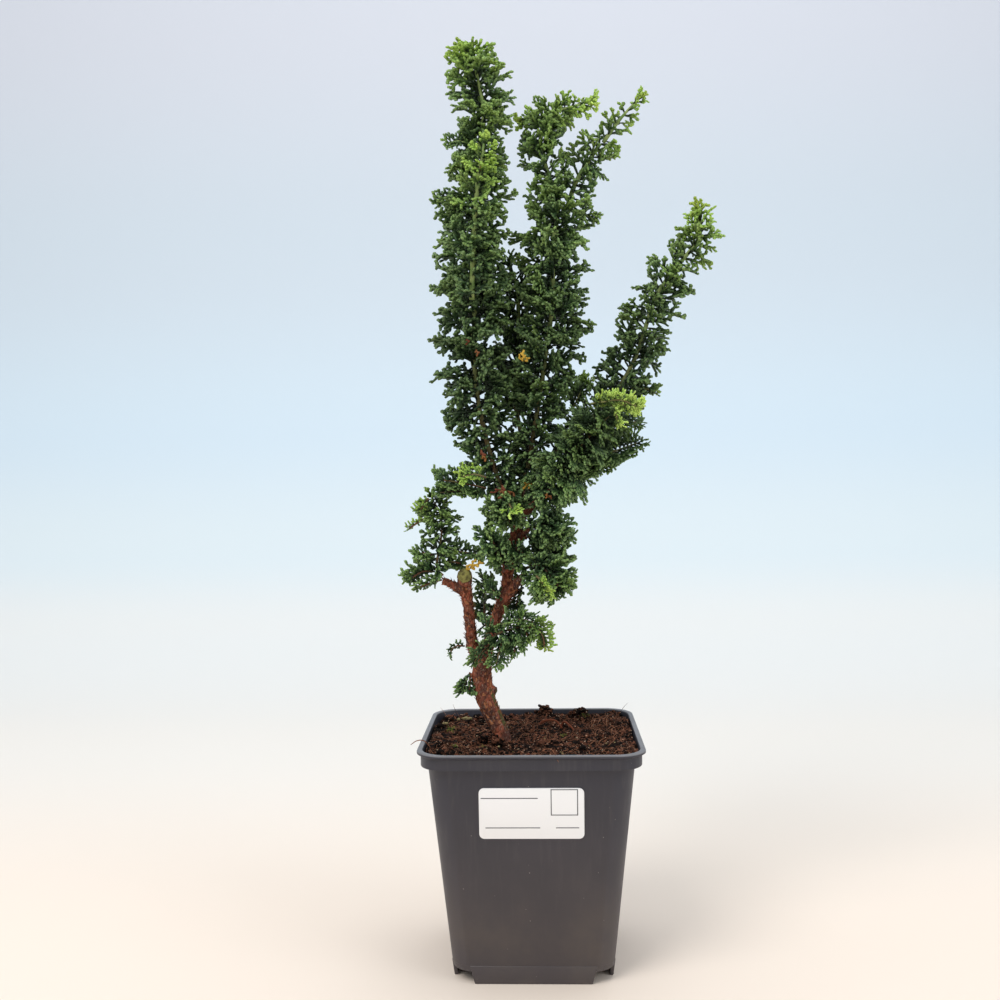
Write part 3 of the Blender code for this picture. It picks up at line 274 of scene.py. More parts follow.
# The leafy stems, as place and reach of the fronds: all round a column, to both sides of a spray
STEMS = {
    "left_leader": [
        ("column", [
            (-9.8, 3.7, 230, 13), (-14, 3, 239, 15), (-20.5, 1, 261, 14.5), (-25.5, 1, 285, 16.8),
            (-27.5, 2, 314, 17), (-26, 3, 346, 17.5), (-27.2, 3, 371, 16), (-26.5, 3, 388, 16.5),
            (-24.5, 2, 408, 13.2), (-22, 1.5, 424, 14), (-20.5, 1, 431, 14),
        ]),
        ("spray", [(-36, 0, 389, 4), (-41, -1, 389, 5), (-44.5, -1.5, 386.5, 4)]),
        ("spray", [(-29, 0, 416, 4), (-34, -1, 417, 5), (-38.5, -1, 416, 4)]),
        ("column", [(-26, 12, 290, 6), (-31, 12, 320, 7)]),
        ("column", [(-3, 12, 264, 5.5), (-7, 12, 284, 6)]),
    ],
    "left_leader_tip": [
        ("column", [
            (-20.4, 1, 432, 14), (-22.5, 1, 444, 13.8), (-24.8, 1, 454, 14.4), (-26.6, 1, 461.5, 12.4),
        ]),
    ],
    "left_front_shoot": [
        ("column", [(-27.5, -9.5, 335, 10), (-26.2, -13, 362, 12), (-23.5, -16, 392, 10)]),
    ],
    "left_front_shoot_tip": [
        ("column", [(-23.2, -16.2, 393.5, 10), (-21.5, -17, 402, 9), (-20, -17, 411, 6)]),
    ],
    "middle_leader": [
        ("column", [
            (-4.3, 5.3, 233.5, 12), (-1, 7, 249, 14), (4, 9, 275, 16), (9, 10, 306, 16.5),
            (13.5, 10, 337, 16.5), (13.5, 10, 363, 16), (16.5, 10.5, 381, 15.5), (14.5, 10, 392, 13.5),
            (9, 9, 412, 11),
        ]),
        ("spray", [(26, 6, 382, 4), (30.5, 5, 380, 5.5), (35, 4, 377.5, 4.5)]),
    ],
    "middle_leader_tip": [
        ("column", [
            (9.8, 8.9, 411, 12.5), (8, 8, 421, 12), (12, 7, 429.5, 11), (20, 6, 434, 9),
            (33, 3.5, 436.5, 6),
        ]),
        ("spray", [(9, 8, 425, 6), (3, 7, 429, 6), (-2, 6, 428, 4)]),
    ],
    "middle_side_branch": [
        ("column", [(21.5, 13.5, 385, 10), (27, 13.5, 400, 11), (39, 13, 418, 9)]),
        ("spray", [(22, 12, 396, 4), (20.5, 10, 403, 5.5), (18, 9, 411, 4.5)]),
        ("spray", [(33, 12, 405, 4), (40, 11, 409.5, 5.5), (45, 10, 411, 4.5)]),
    ],
    "middle_side_branch_tip": [
        ("column", [(40.7, 13, 418.7, 8.5), (50, 13, 431, 7), (59, 11.5, 440, 5.5)]),
    ],
    "right_branch": [
        ("column", [
            (6, 10.5, 255.5, 9), (15, 11, 258, 11.5), (26, 13, 266, 12.5), (36, 15, 279, 14),
            (48, 16, 292, 14), (57.5, 16, 310, 13.5), (65, 16, 332, 13.5), (72, 15, 346, 12.5),
            (87, 13.5, 364, 10.5),
        ]),
        ("spray", [(54, 12, 291, 5), (60, 11, 291, 5.5), (65, 10, 289.5, 4.5)]),
        ("spray", [(23, 10, 280, 5), (26.5, 9, 287, 7), (30, 9, 293.5, 6)]),
    ],
    "right_branch_tip": [
        ("column", [(87, 13.4, 363, 10.5), (90.5, 13, 370.5, 10.5), (90.5, 12, 377, 9.5)]),
    ],
    "front_branch": [
        ("column", [
            (6, -6, 234, 11), (14, -13, 244, 13), (23, -19, 257, 14), (33, -23, 268, 12.5),
            (40, -24, 275, 9.5),
        ]),
        ("spray", [(42, -22, 271, 6), (49, -21, 272, 7), (54.5, -20, 271.5, 5)]),
        ("spray", [(23, -19, 254, 10), (37, -18, 256, 11), (54, -16, 261.5, 6.5)]),
        ("spray", [(16, -15, 246, 9), (29, -19, 250, 9), (40, -20, 251.5, 6)]),
    ],
    "front_branch_tip": [
        ("spray", [(31, -25, 281, 4.5), (40, -26.5, 282, 6), (52, -26.5, 279, 6)]),
        ("spray", [(36, -28, 281.5, 5), (45, -29, 282.5, 5.5), (53, -28, 279.5, 5)]),
        ("spray", [(41, -28.5, 279.5, 5), (43, -30, 276, 5), (44, -30.5, 272, 4)]),
    ],
    "left_tuft": [
        ("spray", [(-21.5, -7.5, 240, 8), (-32, -11, 242.5, 8), (-43.5, -15, 244.5, 6)]),
        ("spray", [(-25, -8, 238, 7), (-35, -12, 238.5, 6.5), (-44.5, -14, 238, 5)]),
    ],
    "left_tuft_tip": [("spray", [(-21, -16, 245.5, 5), (-27, -17.5, 247.2, 6), (-33, -18.5, 245.5, 4)])],
    "low_left_branch": [
        ("column", [
            (-44, -9, 196, 7), (-47, -9, 200, 8.5), (-46, -8, 209, 9), (-44.5, -7, 218, 9),
            (-45.5, -6, 228, 10), (-49.5, -5, 235, 7.5),
        ]),
        ("spray", [(-44.5, -9, 193.8, 5), (-50, -10, 192.5, 6.5), (-56, -11, 190.5, 5)]),
        ("spray", [(-48, -9.5, 198, 7), (-54, -11, 198.5, 8), (-60, -12, 195, 6)]),
        ("spray", [(-49, -9, 206, 6), (-53, -10, 207.5, 5.5), (-56.5, -10, 207, 4)]),
        ("spray", [(-40, -7, 208, 5), (-33, -6, 207.5, 5.5), (-26, -5, 206, 4.5)]),
        ("spray", [(-44, -8, 203, 5), (-39, -8, 203, 6), (-35, -7, 202, 4.5)]),
    ],
    "low_left_branch_tip": [
        ("spray", [(-50.5, -12, 235.5, 4.5), (-54.5, -13, 230, 4)]),
        ("spray", [(-53.5, -12.5, 225, 3.5), (-56.5, -13.5, 223, 3.5), (-60, -13.5, 220.5, 3)]),
    ],
    "low_right_spray": [
        ("column", [(-2.5, -8, 199, 7), (4, -12, 201, 10.5), (10, -16, 197, 12), (14.5, -18.5, 191, 9)]),
    ],
    "low_right_spray_tip": [
        ("spray", [(3.5, -27, 197, 4.5), (6.5, -28.5, 194, 5), (9.5, -30, 188.5, 4)]),
    ],
    "low_right_upper_spray": [
        ("column", [(0.5, -4.5, 219.5, 10), (7, -10, 221, 13), (13, -13.5, 218, 11)]),
    ],
    "centre_front_spray": [("column", [(-12, -3, 233, 9), (-11, -10, 232, 12), (-9.5, -16, 226, 10)])],
    "centre_front_spray_tip": [("spray", [(-9.5, -22, 232.5, 5), (-8, -24.5, 229, 4.5)])],
    "centre_left_spray": [
        ("column", [(-15.5, -3.5, 206.5, 9.5), (-17, -8, 210, 10.5), (-18.5, -13, 213.5, 9)]),
    ],
    "centre_low_spray": [
        ("column", [(-13.8, -4.2, 201.2, 7), (-15, -8, 206, 8), (-17, -12, 207, 6.5)]),
        ("column", [(-11, -3, 205, 7), (-7, -8, 209.5, 9.5), (-3, -12, 207, 8)]),
        ("spray", [(-4, 3, 190, 5), (-6, 3, 184, 6.5), (-7.5, 2, 178, 5.5)]),
    ],
    "middle_right_spray": [("column", [(-1.2, 4.3, 214.5, 10), (6, 4.5, 213, 13), (13, 4, 207, 10)])],
    "lowest_spray": [
        ("column", [
            (-21.5, -11.5, 161, 7), (-17, -14.5, 166.5, 9.5), (-10, -18, 169.5, 10.5),
            (-4, -20, 171, 8.5), (1.5, -21, 170.5, 5.5),
        ]),
        ("spray", [(-16, -14.5, 165, 6), (-22, -18.5, 161, 7), (-28, -20, 154, 5)]),
        ("spray", [(-14, -16.5, 164, 6), (-16, -20.5, 157, 6), (-17, -21, 152, 4)]),
        ("spray", [(-8, -18.5, 167, 6.5), (-7.5, -21, 162, 6), (-8, -22, 157.5, 3.5)]),
        ("spray", [(-3, -20.5, 170, 6), (-1.5, -22, 168, 5), (-1, -22.5, 165.5, 3)]),
        ("spray", [
            (-16, -14, 170, 6), (-11, -17.5, 173.5, 6.5), (-3, -19.5, 174.5, 6.5), (3, -20.5, 172.5, 6),
        ]),
    ],
    "lowest_spray_tip": [
        ("spray", [
            (-0.5, -20.5, 173, 6.5), (4, -21, 170.5, 6.5), (6.6, -21, 165.5, 5.5), (7, -21, 161, 4),
        ]),
    ],
    "sprig_left": [
        ("spray", [
            (-33.5, -7.5, 159.8, 2.2), (-37, -8.5, 160.2, 2.8), (-40, -9, 158.8, 3.2),
            (-40.6, -9.5, 155.8, 2.4),
        ]),
    ],
    "sprig_lower_left": [
        ("spray", [(-30.8, -8.4, 146.5, 3.5), (-32.8, -9.3, 143, 6), (-35, -10, 138, 4.5)]),
        ("spray", [(-31, -9.4, 144.5, 3), (-30.8, -10.4, 141, 4.5), (-31.4, -11, 138, 3.5)]),
    ],
    "inner_spray": [("column", [(-22.6, 5, 167.3, 6), (-24, 8.5, 175, 8), (-23.5, 11, 190, 7)])],
    "limb_sprig": [("spray", [(-14, -6.5, 183.5, 5), (-17.5, -8.5, 187, 6), (-21, -9, 189.5, 5)])],
    "inner_shoot": [
        ("column", [
            (-4.5, 18, 278, 11), (-5.5, 22, 300, 14), (-5, 23, 322, 14), (-5, 22, 343, 11.5),
            (-9, 20, 357, 6.5),
        ]),
    ],
    "back_low_spray": [
        ("column", [(-6.5, 12.6, 217.4, 9), (-6, 19, 224, 13), (-4, 27, 238, 13), (-1, 31, 254, 9)]),
    ],
    "back_limb_spray": [("column", [(-11, 11.6, 201.4, 8), (-12, 18, 204, 11), (-14, 25, 204, 8)])],
    "back_middle_spray": [("column", [(11.5, 19.5, 316, 10), (12, 26, 333, 12), (14, 28, 354, 8)])],
    "back_left_spray": [("column", [(-31, 12, 322, 10), (-33.5, 18, 340, 12), (-32, 20, 364, 8)])],
}
# Stems with finer or younger fronds than the thick ones, and how fresh stems look from start to end
FINE_STEMS = (
    "low_left_branch", "low_left_branch_tip", "low_right_spray", "low_right_spray_tip",
    "low_right_upper_spray", "centre_front_spray", "centre_front_spray_tip", "centre_left_spray",
    "centre_low_spray", "middle_right_spray", "lowest_spray", "lowest_spray_tip", "sprig_left",
    "sprig_lower_left", "inner_spray", "limb_sprig", "left_tuft", "left_tuft_tip",
    "back_limb_spray",
)
YOUNG_STEMS = (
    "front_branch", "front_branch_tip", "left_tuft_tip", "lowest_spray", "lowest_spray_tip",
    "low_left_branch_tip",
)
FRESH_ENDS = {
    "left_leader": (0.0, 0.36),
    "left_leader_tip": (0.25, 0.85),
    "left_front_shoot": (0.1, 0.55),
    "left_front_shoot_tip": (0.8, 1.0),
    "middle_leader": (0.0, 0.4),
    "middle_leader_tip": (0.22, 1.15),
    "middle_side_branch": (0.2, 0.5),
    "middle_side_branch_tip": (0.5, 0.9),
    "right_branch": (0.0, 0.45),
    "right_branch_tip": (0.5, 0.95),
    "front_branch": (0.06, 0.25),
    "front_branch_tip": (1.05, 1.2),
    "left_tuft": (0.1, 0.2),
    "left_tuft_tip": (0.75, 1.1),
    "low_left_branch": (0.12, 0.35),
    "low_left_branch_tip": (0.8, 0.45),
    "low_right_spray": (0.05, 0.4),
    "low_right_spray_tip": (0.7, 1.0),
    "centre_front_spray_tip": (0.7, 1.0),
    "lowest_spray": (0.05, 0.35),
    "lowest_spray_tip": (0.35, 1.05),
}
FROND_TURN = math.radians(137.5)
FROND_RISE = (math.radians(20), math.radians(36), math.radians(15))
FROND_ROLL = math.radians(48)
TIP_RISE = math.radians(26)
FROND_LEAST = 6.0
CLIP_SHARES = (1.0, 0.88, 0.76, 0.64, 0.52, 0.42)
BOX_MARGIN = 0.4
BOX_LEAST = 0.05
SHRINK = 0.9
SPRAY_STEP = 1.0

# A leafy cord, as (place along it, width there), and the three kinds of frond that are made of them
CORD_SIDES = 4
CORD_FLAT = 0.72
CORD_PROFILE = ((0, 0.6), (0.3, 1.0), (0.6, 0.86), (0.88, 0.92), (1, 0))
KNOB_PROFILE = ((0, 0.62), (0.5, 1.0), (0.84, 0.94), (1, 0))
LEAF_PITCH = 0.95
THICK_FROND = {
    "width": 2.05, "step": 1.7, "bare": 0.2, "branch": 0.46, "knob": 3.0, "angle": 50, "tilt": 26,
    "droop": 0.16, "cup": 0.4,
}
FINE_FROND = {
    "width": 1.85, "step": 1.6, "bare": 0.06, "branch": 0.44, "knob": 2.6, "angle": 48, "tilt": 22,
    "droop": 0.30, "cup": 0.3,
}
YOUNG_FROND = {
    "width": 1.45, "step": 1.35, "bare": 0.05, "branch": 0.44, "knob": 2.1, "angle": 46, "tilt": 18,
    "droop": 0.32, "cup": 0.25,
}
KINDS = {"thick": THICK_FROND, "fine": FINE_FROND, "young": YOUNG_FROND}
# The stem surface that each frond has to itself, and how far fronds hang
AREAS = {"thick": 91.0, "fine": 38.0, "young": 43.0}
TIP_AREA = 70.0
SAG = 0.34
HEAVY = {"lowest_spray": 0.5, "front_branch": 0.5}
# Heights between which a stem shows from the front, and how far round its fronds are left out
BARE_FRONTS = {
    "left_leader_tip": (431, 449, -0.78),
    "middle_side_branch": (408, 416, -0.93),
    "middle_side_branch_tip": (423, 432, -0.88),
}
FROND_LENGTHS = (4.0, 6.0, 8.5, 11.5, 15.0, 19.0, 23.0)
FROND_VARIANTS = 4


# Mesh helpers


def of_kind(items, kind):
    """Those of a mesh's items that are of one kind."""
    return [item for item in items if isinstance(item, kind)]


def new_ring(bm, rim):
    """Extrudes the open rim once and gives the new ring's vertices, in order, with its edges."""
    made = bmesh.ops.extrude_edge_only(bm, edges=rim)["geom"]
    edges = [edge for edge in of_kind(made, bmesh.types.BMEdge) if edge.is_boundary]
    return of_kind(made, bmesh.types.BMVert), edges


def open_edges(bm):
    """The edges round a mesh's opening."""
    return [edge for edge in bm.edges if edge.is_boundary]


def edges_at(verts):
    """The edges that meet these vertices, each once and in a fixed order."""
    return list(dict.fromkeys(edge for vert in verts for edge in vert.link_edges))


def turned(way, angle, axis):
    """A copy of a direction, turned about an axis."""
    made = way.copy()
    made.rotate(Matrix.Rotation(angle, 3, axis))
    return made


def turned_axes(x, y, z):
    """The matrix that turns the three axes into these directions."""
    return Matrix((x, y, z)).transposed().to_4x4()


def smooth_path(points, step):
    """Points about step apart on a smooth curve through the given ones, with their fourth number blended."""
    rows = [Vector(point) for point in points]
    rows = [2 * rows[0] - rows[1], *rows, 2 * rows[-1] - rows[-2]]
    path = []
    for a, b, c, d in zip(rows, rows[1:], rows[2:], rows[3:]):
        count = max(1, round((c - b).xyz.length / step))
        for i in range(count):
            t = i / count
            bend = (2 * a - 5 * b + 4 * c - d) * t**2 + (3 * b - a - 3 * c + d) * t**3
            path.append((2 * b + (c - a) * t + bend) / 2)
    path.append(rows[-2])
    return path


def directions(path):
    """The direction of a path at each of its points."""
    ends = [path[0], *path, path[-1]]
    return [(after.xyz - before.xyz).normalized() for before, after in zip(ends, ends[2:])]


def add_tube(bm, path, sides):
    """A closed round tube along a path whose fourth number is its radius."""
    ring = bmesh.ops.create_circle(bm, segments=sides, radius=1)["verts"]
    rim = edges_at(ring)
    bm.faces.new(ring)
    made = list(ring)
    stems = directions(path)
    across = stems[0].orthogonal().normalized()
    for i, (row, stem) in enumerate(zip(path, stems)):
        if i:
            across.rotate(stems[i - 1].rotation_difference(stem))
            ring, rim = new_ring(bm, rim)
            made += ring
        for step, vert in enumerate(ring):
            vert.co = row.xyz + turned(across, step * 2 * math.pi / sides, stem) * row.w
    bmesh.ops.contextual_create(bm, geom=rim)
    return made


def merge(bm, part):
    """Moves one bmesh into another, which stays quick however large the other is."""
    mesh = bpy.data.meshes.new("part")
    part.to_mesh(mesh)
    part.free()
    bm.from_mesh(mesh)
    bpy.data.meshes.remove(mesh)


def square_loft(rings, steps):
    """A closed shell through rounded squares, each given as (half width, height)."""
    bm = bmesh.new()
    half, height = rings[0]
    bmesh.ops.create_grid(bm, x_segments=1, y_segments=1, size=half)
    bmesh.ops.bevel(
        bm,
        geom=bm.verts[:],
        offset=CORNER_RADIUS,
        segments=steps,
        profile=0.5,
        affect="VERTICES",
        material=-1,
    )
    bmesh.ops.translate(bm, verts=bm.verts, vec=(0, 0, height))
    rim = open_edges(bm)
    for next_half, next_height in rings[1:]:
        ring, rim = new_ring(bm, rim)
        grow = next_half / half
        bmesh.ops.scale(bm, verts=ring, vec=(grow, grow, 1))
        bmesh.ops.translate(bm, verts=ring, vec=(0, 0, next_height - height))
        half, height = next_half, next_height
    bmesh.ops.contextual_create(bm, geom=rim)
    return bm


def new_object(name, bm):
    """An object from a bmesh in millimetres round the pot, with its place in its mesh in metres."""
    bmesh.ops.transform(bm, matrix=TO_WORLD, verts=bm.verts)
    mesh = bpy.data.meshes.new(name)
    bm.to_mesh(mesh)
    bm.free()
    obj = bpy.data.objects.new(name, mesh)
    bpy.context.scene.collection.objects.link(obj)
    return obj


def new_piece(name, bm, material, nodes=(), sharp=None):
    """A finished piece of the part, which stands for the CAD nodes named."""
    obj = new_object(name, bm)
    obj.data.shade_smooth()
    if sharp:
        obj.data.set_sharp_from_angle(angle=math.radians(sharp))
    obj.data.materials.append(material)
    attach(obj, "root")
    if nodes:
        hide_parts(*nodes)
    return obj


def settle(obj):
    """Turns what an object's modifiers make into its own mesh."""
    bpy.context.view_layer.update()
    graph = bpy.context.evaluated_depsgraph_get()
    mesh = bpy.data.meshes.new_from_object(obj.evaluated_get(graph))
    obj.modifiers.clear()
    obj.data = mesh
    return obj


def smooth_share(low, high, value):
    """How far value is on the way from low to high, from 0 to 1, eased at both ends."""
    share = min(1, max(0, (value - low) / (high - low)))
    return share * share * (3 - 2 * share)


# Material helpers


def add_node(tree, kind, inputs=None, **settings):
    """Adds a node with its settings, and links or sets its inputs."""
    made = tree.nodes.new(kind)
    for key, value in settings.items():
        setattr(made, key, value)
    for key, value in (inputs or {}).items():
        if isinstance(value, bpy.types.NodeSocket):
            tree.links.new(value, made.inputs[key])
        else:
            made.inputs[key].default_value = value
    return made


def mix_colour(tree, share, a, b):
    """A colour between a and b."""
    inputs = {"Factor": share, 6: colour(a), 7: colour(b)}
    return add_node(tree, "ShaderNodeMix", inputs, data_type="RGBA").outputs[2]


def cover(tree, base, value, span, tone):
    """Lays a tone over a colour by a value. The span is its low and high, and the cover at each."""
    return mix_colour(tree, ramp(tree, value, *span), base, tone)


def colour(value):
    """A colour as a shader takes it, whether it is a link or three numbers."""
    return value if isinstance(value, bpy.types.NodeSocket) else (*value, 1.0)


def maths(tree, operation, *values):
    """A value worked out from others."""
    return add_node(tree, "ShaderNodeMath", dict(enumerate(values)), operation=operation).outputs[0]


def parts_of(tree, place):
    """The X, Y and Z of a place."""
    return add_node(tree, "ShaderNodeSeparateXYZ", {"Vector": place}).outputs


def ramp(tree, value, low, high, to_low=0.0, to_high=1.0):
    """value between low and high, stretched to run between two others."""
    inputs = {"Value": value, "From Min": low, "From Max": high, "To Min": to_low, "To Max": to_high}
    return add_node(tree, "ShaderNodeMapRange", inputs, interpolation_type="SMOOTHSTEP").outputs["Result"]


def noise_value(tree, place, scale, detail=3.0, roughness=0.55):
    """Soft noise from 0 to 1."""
    inputs = {"Vector": place, "Scale": scale, "Detail": detail, "Roughness": roughness}
    return add_node(tree, "ShaderNodeTexNoise", inputs).outputs["Fac"]


def new_group(name, inputs, outputs):
    """An empty node group with named sockets, and its inner ends."""
    group = bpy.data.node_groups.new(name, "ShaderNodeTree")
    for title, kind in inputs:
        group.interface.new_socket(title, in_out="INPUT", socket_type="NodeSocket" + kind)
    for title, kind in outputs:
        group.interface.new_socket(title, in_out="OUTPUT", socket_type="NodeSocket" + kind)
    given = group.nodes.new("NodeGroupInput").outputs
    result = group.nodes.new("NodeGroupOutput").inputs
    return group, given, result


def grain_group():
    """Fine grain: its value, and the normal of a surface that it raises."""
    numbers = [(title, "Float") for title in ("Scale", "Detail", "Depth", "Strength")]
    ends = (("Value", "Float"), ("Normal", "Vector"))
    group, given, result = new_group("grain", [("Place", "Vector"), *numbers], ends)
    value = noise_value(group, given["Place"], given["Scale"], given["Detail"])
    inputs = {"Height": value, "Distance": given["Depth"], "Strength": given["Strength"]}
    bump = add_node(group, "ShaderNodeBump", inputs)
    group.links.new(value, result["Value"])
    group.links.new(bump.outputs["Normal"], result["Normal"])
    return group


def patches_group():
    """Soft patches of two colours."""
    numbers = [(title, "Float") for title in ("Scale", "Detail", "Low", "High")]
    colours = [(title, "Color") for title in ("First", "Second")]
    ends = [("Colour", "Color")]
    group, given, result = new_group("patches", [("Place", "Vector"), *numbers, *colours], ends)
    value = noise_value(group, given["Place"], given["Scale"], given["Detail"])
    share = ramp(group, value, given["Low"], given["High"])
    group.links.new(mix_colour(group, share, given["First"], given["Second"]), result["Colour"])
    return group


def use_group(tree, group, inputs):
    """The outputs of a node group put to use."""
    return add_node(tree, "ShaderNodeGroup", inputs, node_tree=group).outputs


def add_grain(tree, place, scale, detail, depth=0.0, strength=0.0):
    """Fine grain at a place, as a value and a normal."""
    inputs = {"Place": place, "Scale": scale, "Detail": detail, "Depth": depth, "Strength": strength}
    return use_group(tree, bpy.data.node_groups["grain"], inputs)


def add_patches(tree, place, scale, detail, span, first, second):
    """Soft patches of two colours at a place."""
    inputs = {"Place": place, "Scale": scale, "Detail": detail, "Low": span[0], "High": span[1]}
    inputs |= {"First": colour(first), "Second": colour(second)}
    return use_group(tree, bpy.data.node_groups["patches"], inputs)["Colour"]


def attribute(tree, name):
    """What a piece's points carry under a name."""
    return add_node(tree, "ShaderNodeAttribute", attribute_name=name).outputs["Fac"]


def object_place(tree, stretch=(1, 1, 1)):
    """The place on the piece, stretched."""
    place = add_node(tree, "ShaderNodeTexCoord").outputs["Object"]
    return add_node(tree, "ShaderNodeMapping", {"Vector": place, "Scale": stretch}).outputs["Vector"]


def new_material(name, roughness, specular=0.5):
    """A material, its nodes and its shader."""
    material = bpy.data.materials.new(name)
    material.use_nodes = True
    shader = material.node_tree.nodes["Principled BSDF"]
    shader.inputs["Roughness"].default_value = roughness
    shader.inputs["Specular IOR Level"].default_value = specular
    return material, material.node_tree, shader


def finish_surface(tree, shader, base, normal=None):
    """Gives a shader its colour and, on a grainy surface, its normal."""
    tree.links.new(base, shader.inputs["Base Color"])
    if normal is not None:
        tree.links.new(normal, shader.inputs["Normal"])


# Foliage


def add_layers(bm):
    """What each point of the foliage carries.

    How far out it is, how young, its frond's tint, and how many leaves along its cord it lies.
    """
    return [bm.verts.layers.float.new(name) for name in ("outward", "fresh", "tint", "leaf")]


def cord_mesh(profile):
    """One leafy cord along +X, a unit long and wide, with a blunt end."""
    bm = bmesh.new()
    outward, _, side, _ = add_layers(bm)
    ring = bmesh.ops.create_circle(bm, segments=CORD_SIDES, radius=0.5)["verts"]
    bmesh.ops.rotate(bm, verts=ring, matrix=Matrix.Rotation(math.pi / 2, 3, "Y"))
    rim = bm.edges[:]
    bm.faces.new(ring)
    before = 1.0
    for step, (along, width) in enumerate(profile):
        if step:
            ring, rim = new_ring(bm, rim)
        width = max(width, 0.01)
        grow = width / before
        bmesh.ops.scale(bm, verts=ring, vec=(1, grow, grow * (1 if step else CORD_FLAT)))
        bmesh.ops.translate(bm, verts=ring, vec=(along - ring[0].co.x, 0, 0))
        for vert in ring:
            vert[outward] = along
            vert[side] = 0.5 if abs(vert.co.y) > abs(vert.co.z) else 0
        before = width
    bmesh.ops.pointmerge(bm, verts=ring, merge_co=(1, 0, 0))
    bmesh.ops.recalc_face_normals(bm, faces=bm.faces)
    mesh = bpy.data.meshes.new("leafy_cord")
    bm.to_mesh(mesh)
    bm.free()
    return mesh


class Frond:
    """A fan of leafy cords, which runs along +X and lies flat in the XY plane."""

    def __init__(self, length, kind, cords, chance):
        """Grows the middle cord and its branches, and then bends the whole."""
        self.cord, self.knob = cords
        self.kind = kind
        self.chance = chance
        self.bm = bmesh.new()
        self.layers = add_layers(self.bm)
        self.width = kind["width"] * min(1, 0.66 + length / 45)
        self.add_cord(self.cord, Matrix(), length, self.width * 0.9)
        bare = kind["bare"] * length
        count = max(3, round((length - bare) / kind["step"]))
        for i in range(count):
            self.add_branch(length, bare, 1 if i % 2 else -1, (i + 0.5) / count)
        droop = kind["droop"] * chance.uniform(0.2, 1.5)
        cup = kind["cup"] * chance.choice((-1, 1)) * chance.uniform(0.3, 1.4)
        sway = chance.uniform(-0.12, 0.12)
        outward = self.layers[0]
        for vert in self.bm.verts:
            x, y = vert.co.x / length, vert.co.y / length
            vert[outward] = 0.5 * vert[outward] + 0.5 * min(1, max(0, x))
            vert.co.z -= length * (droop * x * x - cup * y * y)
            vert.co.y += length * sway * x * x

    def add_branch(self, length, bare, side, share):
        """One side branch with its knobs."""
        chance = self.chance
        kind = self.kind
        swell = 0.66 + 0.5 * math.sin(math.pi * min(1, share * 1.1 + 0.05))
        reach = min(8.5, kind["branch"] * length * swell) * chance.uniform(0.8, 1.12) * (1 - 0.25 * share)
        reach = max(reach, 2.0)
        turn = side * math.radians(kind["angle"] * (1.15 - 0.45 * share) + chance.uniform(-9, 9))
        place = (
            Matrix.Translation((bare + (length - bare) * share * 0.95, 0, 0))
            @ Matrix.Rotation(turn, 4, "Z")
            @ Matrix.Rotation(math.radians(chance.gauss(0, kind["tilt"])), 4, "Y")
        )
        self.add_cord(self.cord, place, reach, self.width)
        knobs = round((reach - 1.2) / 2.1)
        for i in range(knobs):
            way = side if i % 2 else -side
            at = reach * (0.34 + 0.5 * (i + 0.5) / knobs)
            knob = (
                place
                @ Matrix.Translation((at, 0, 0))
                @ Matrix.Rotation(way * math.radians(chance.uniform(32, 56)), 4, "Z")
                @ Matrix.Rotation(math.radians(chance.gauss(0, kind["tilt"])), 4, "Y")
            )
            size = min(kind["knob"], 0.62 * reach) * chance.uniform(0.78, 1.1)
            self.add_cord(self.knob, knob, size, self.width * chance.uniform(0.85, 1.05))

    def add_cord(self, cord, place, length, width):
        """One cord, laid along place's X axis with a slight twist."""
        outward, _, side, leaf = self.layers
        twist = Matrix.Rotation(self.chance.uniform(-0.5, 0.5), 4, "X")
        matrix = place @ twist @ Matrix.Diagonal((length, width, width, 1))
        for vert in stamp(self.bm, cord, matrix):
            vert[leaf] = vert[outward] * length / LEAF_PITCH + vert[side]

    def mesh(self):
        """The finished frond as a mesh to copy."""
        mesh = bpy.data.meshes.new("frond")
        self.bm.to_mesh(mesh)
        self.bm.free()
        return mesh


def stamp(bm, mesh, matrix):
    """Adds a copy of a mesh to bm and gives its vertices."""
    count = len(bm.verts)
    bm.from_mesh(mesh)
    bm.verts.ensure_lookup_table()
    made = bm.verts[count:]
    bmesh.ops.transform(bm, matrix=matrix, verts=made)
    return made


class Fronds:
    """Fronds of each kind in a few lengths and shapes, and the means to put one in place."""

    def __init__(self):
        """Makes all the fronds that copies are taken of."""
        chance = random.Random(SEED)
        cords = cord_mesh(CORD_PROFILE), cord_mesh(KNOB_PROFILE)
        self.meshes = {}
        for name, kind in KINDS.items():
            for length in FROND_LENGTHS:
                made = [Frond(length, kind, cords, chance).mesh() for _ in range(FROND_VARIANTS)]
                self.meshes[name, length] = made

    def add(self, bm, kind, base, way, flat, length, fresh, chance):
        """Puts a frond at base, along way, with its flat side facing flat."""
        size = min(FROND_LENGTHS, key=lambda known: abs(known - length))
        mesh = chance.choice(self.meshes[kind, size]).copy()
        side = flat.cross(way).normalized()
        turn = turned_axes(way, side, way.cross(side))
        mesh.transform(Matrix.Translation(base) @ turn @ Matrix.Scale(length / size, 4))
        near_edge = not in_box(base, 1.3 * length)
        while near_edge and not inside_box(mesh):
            mesh.transform(Matrix.Translation(base) @ Matrix.Scale(SHRINK, 4) @ Matrix.Translation(-base))
        count = len(mesh.vertices)
        mesh.attributes["fresh"].data.foreach_set("value", [fresh] * count)
        mesh.attributes["tint"].data.foreach_set("value", [chance.random()] * count)
        bm.from_mesh(mesh)
        bpy.data.meshes.remove(mesh)


def inside_box(mesh):
    """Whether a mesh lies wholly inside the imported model's box."""
    places = np.empty(3 * len(mesh.vertices), np.float32)
    mesh.vertices.foreach_get("co", places)
    places = places.reshape(-1, 3)
    low = places.min(0) - np.array(BOX_LOW)
    high = np.array(BOX_HIGH) - places.max(0)
    return min(low.min(), high.min()) > BOX_LEAST


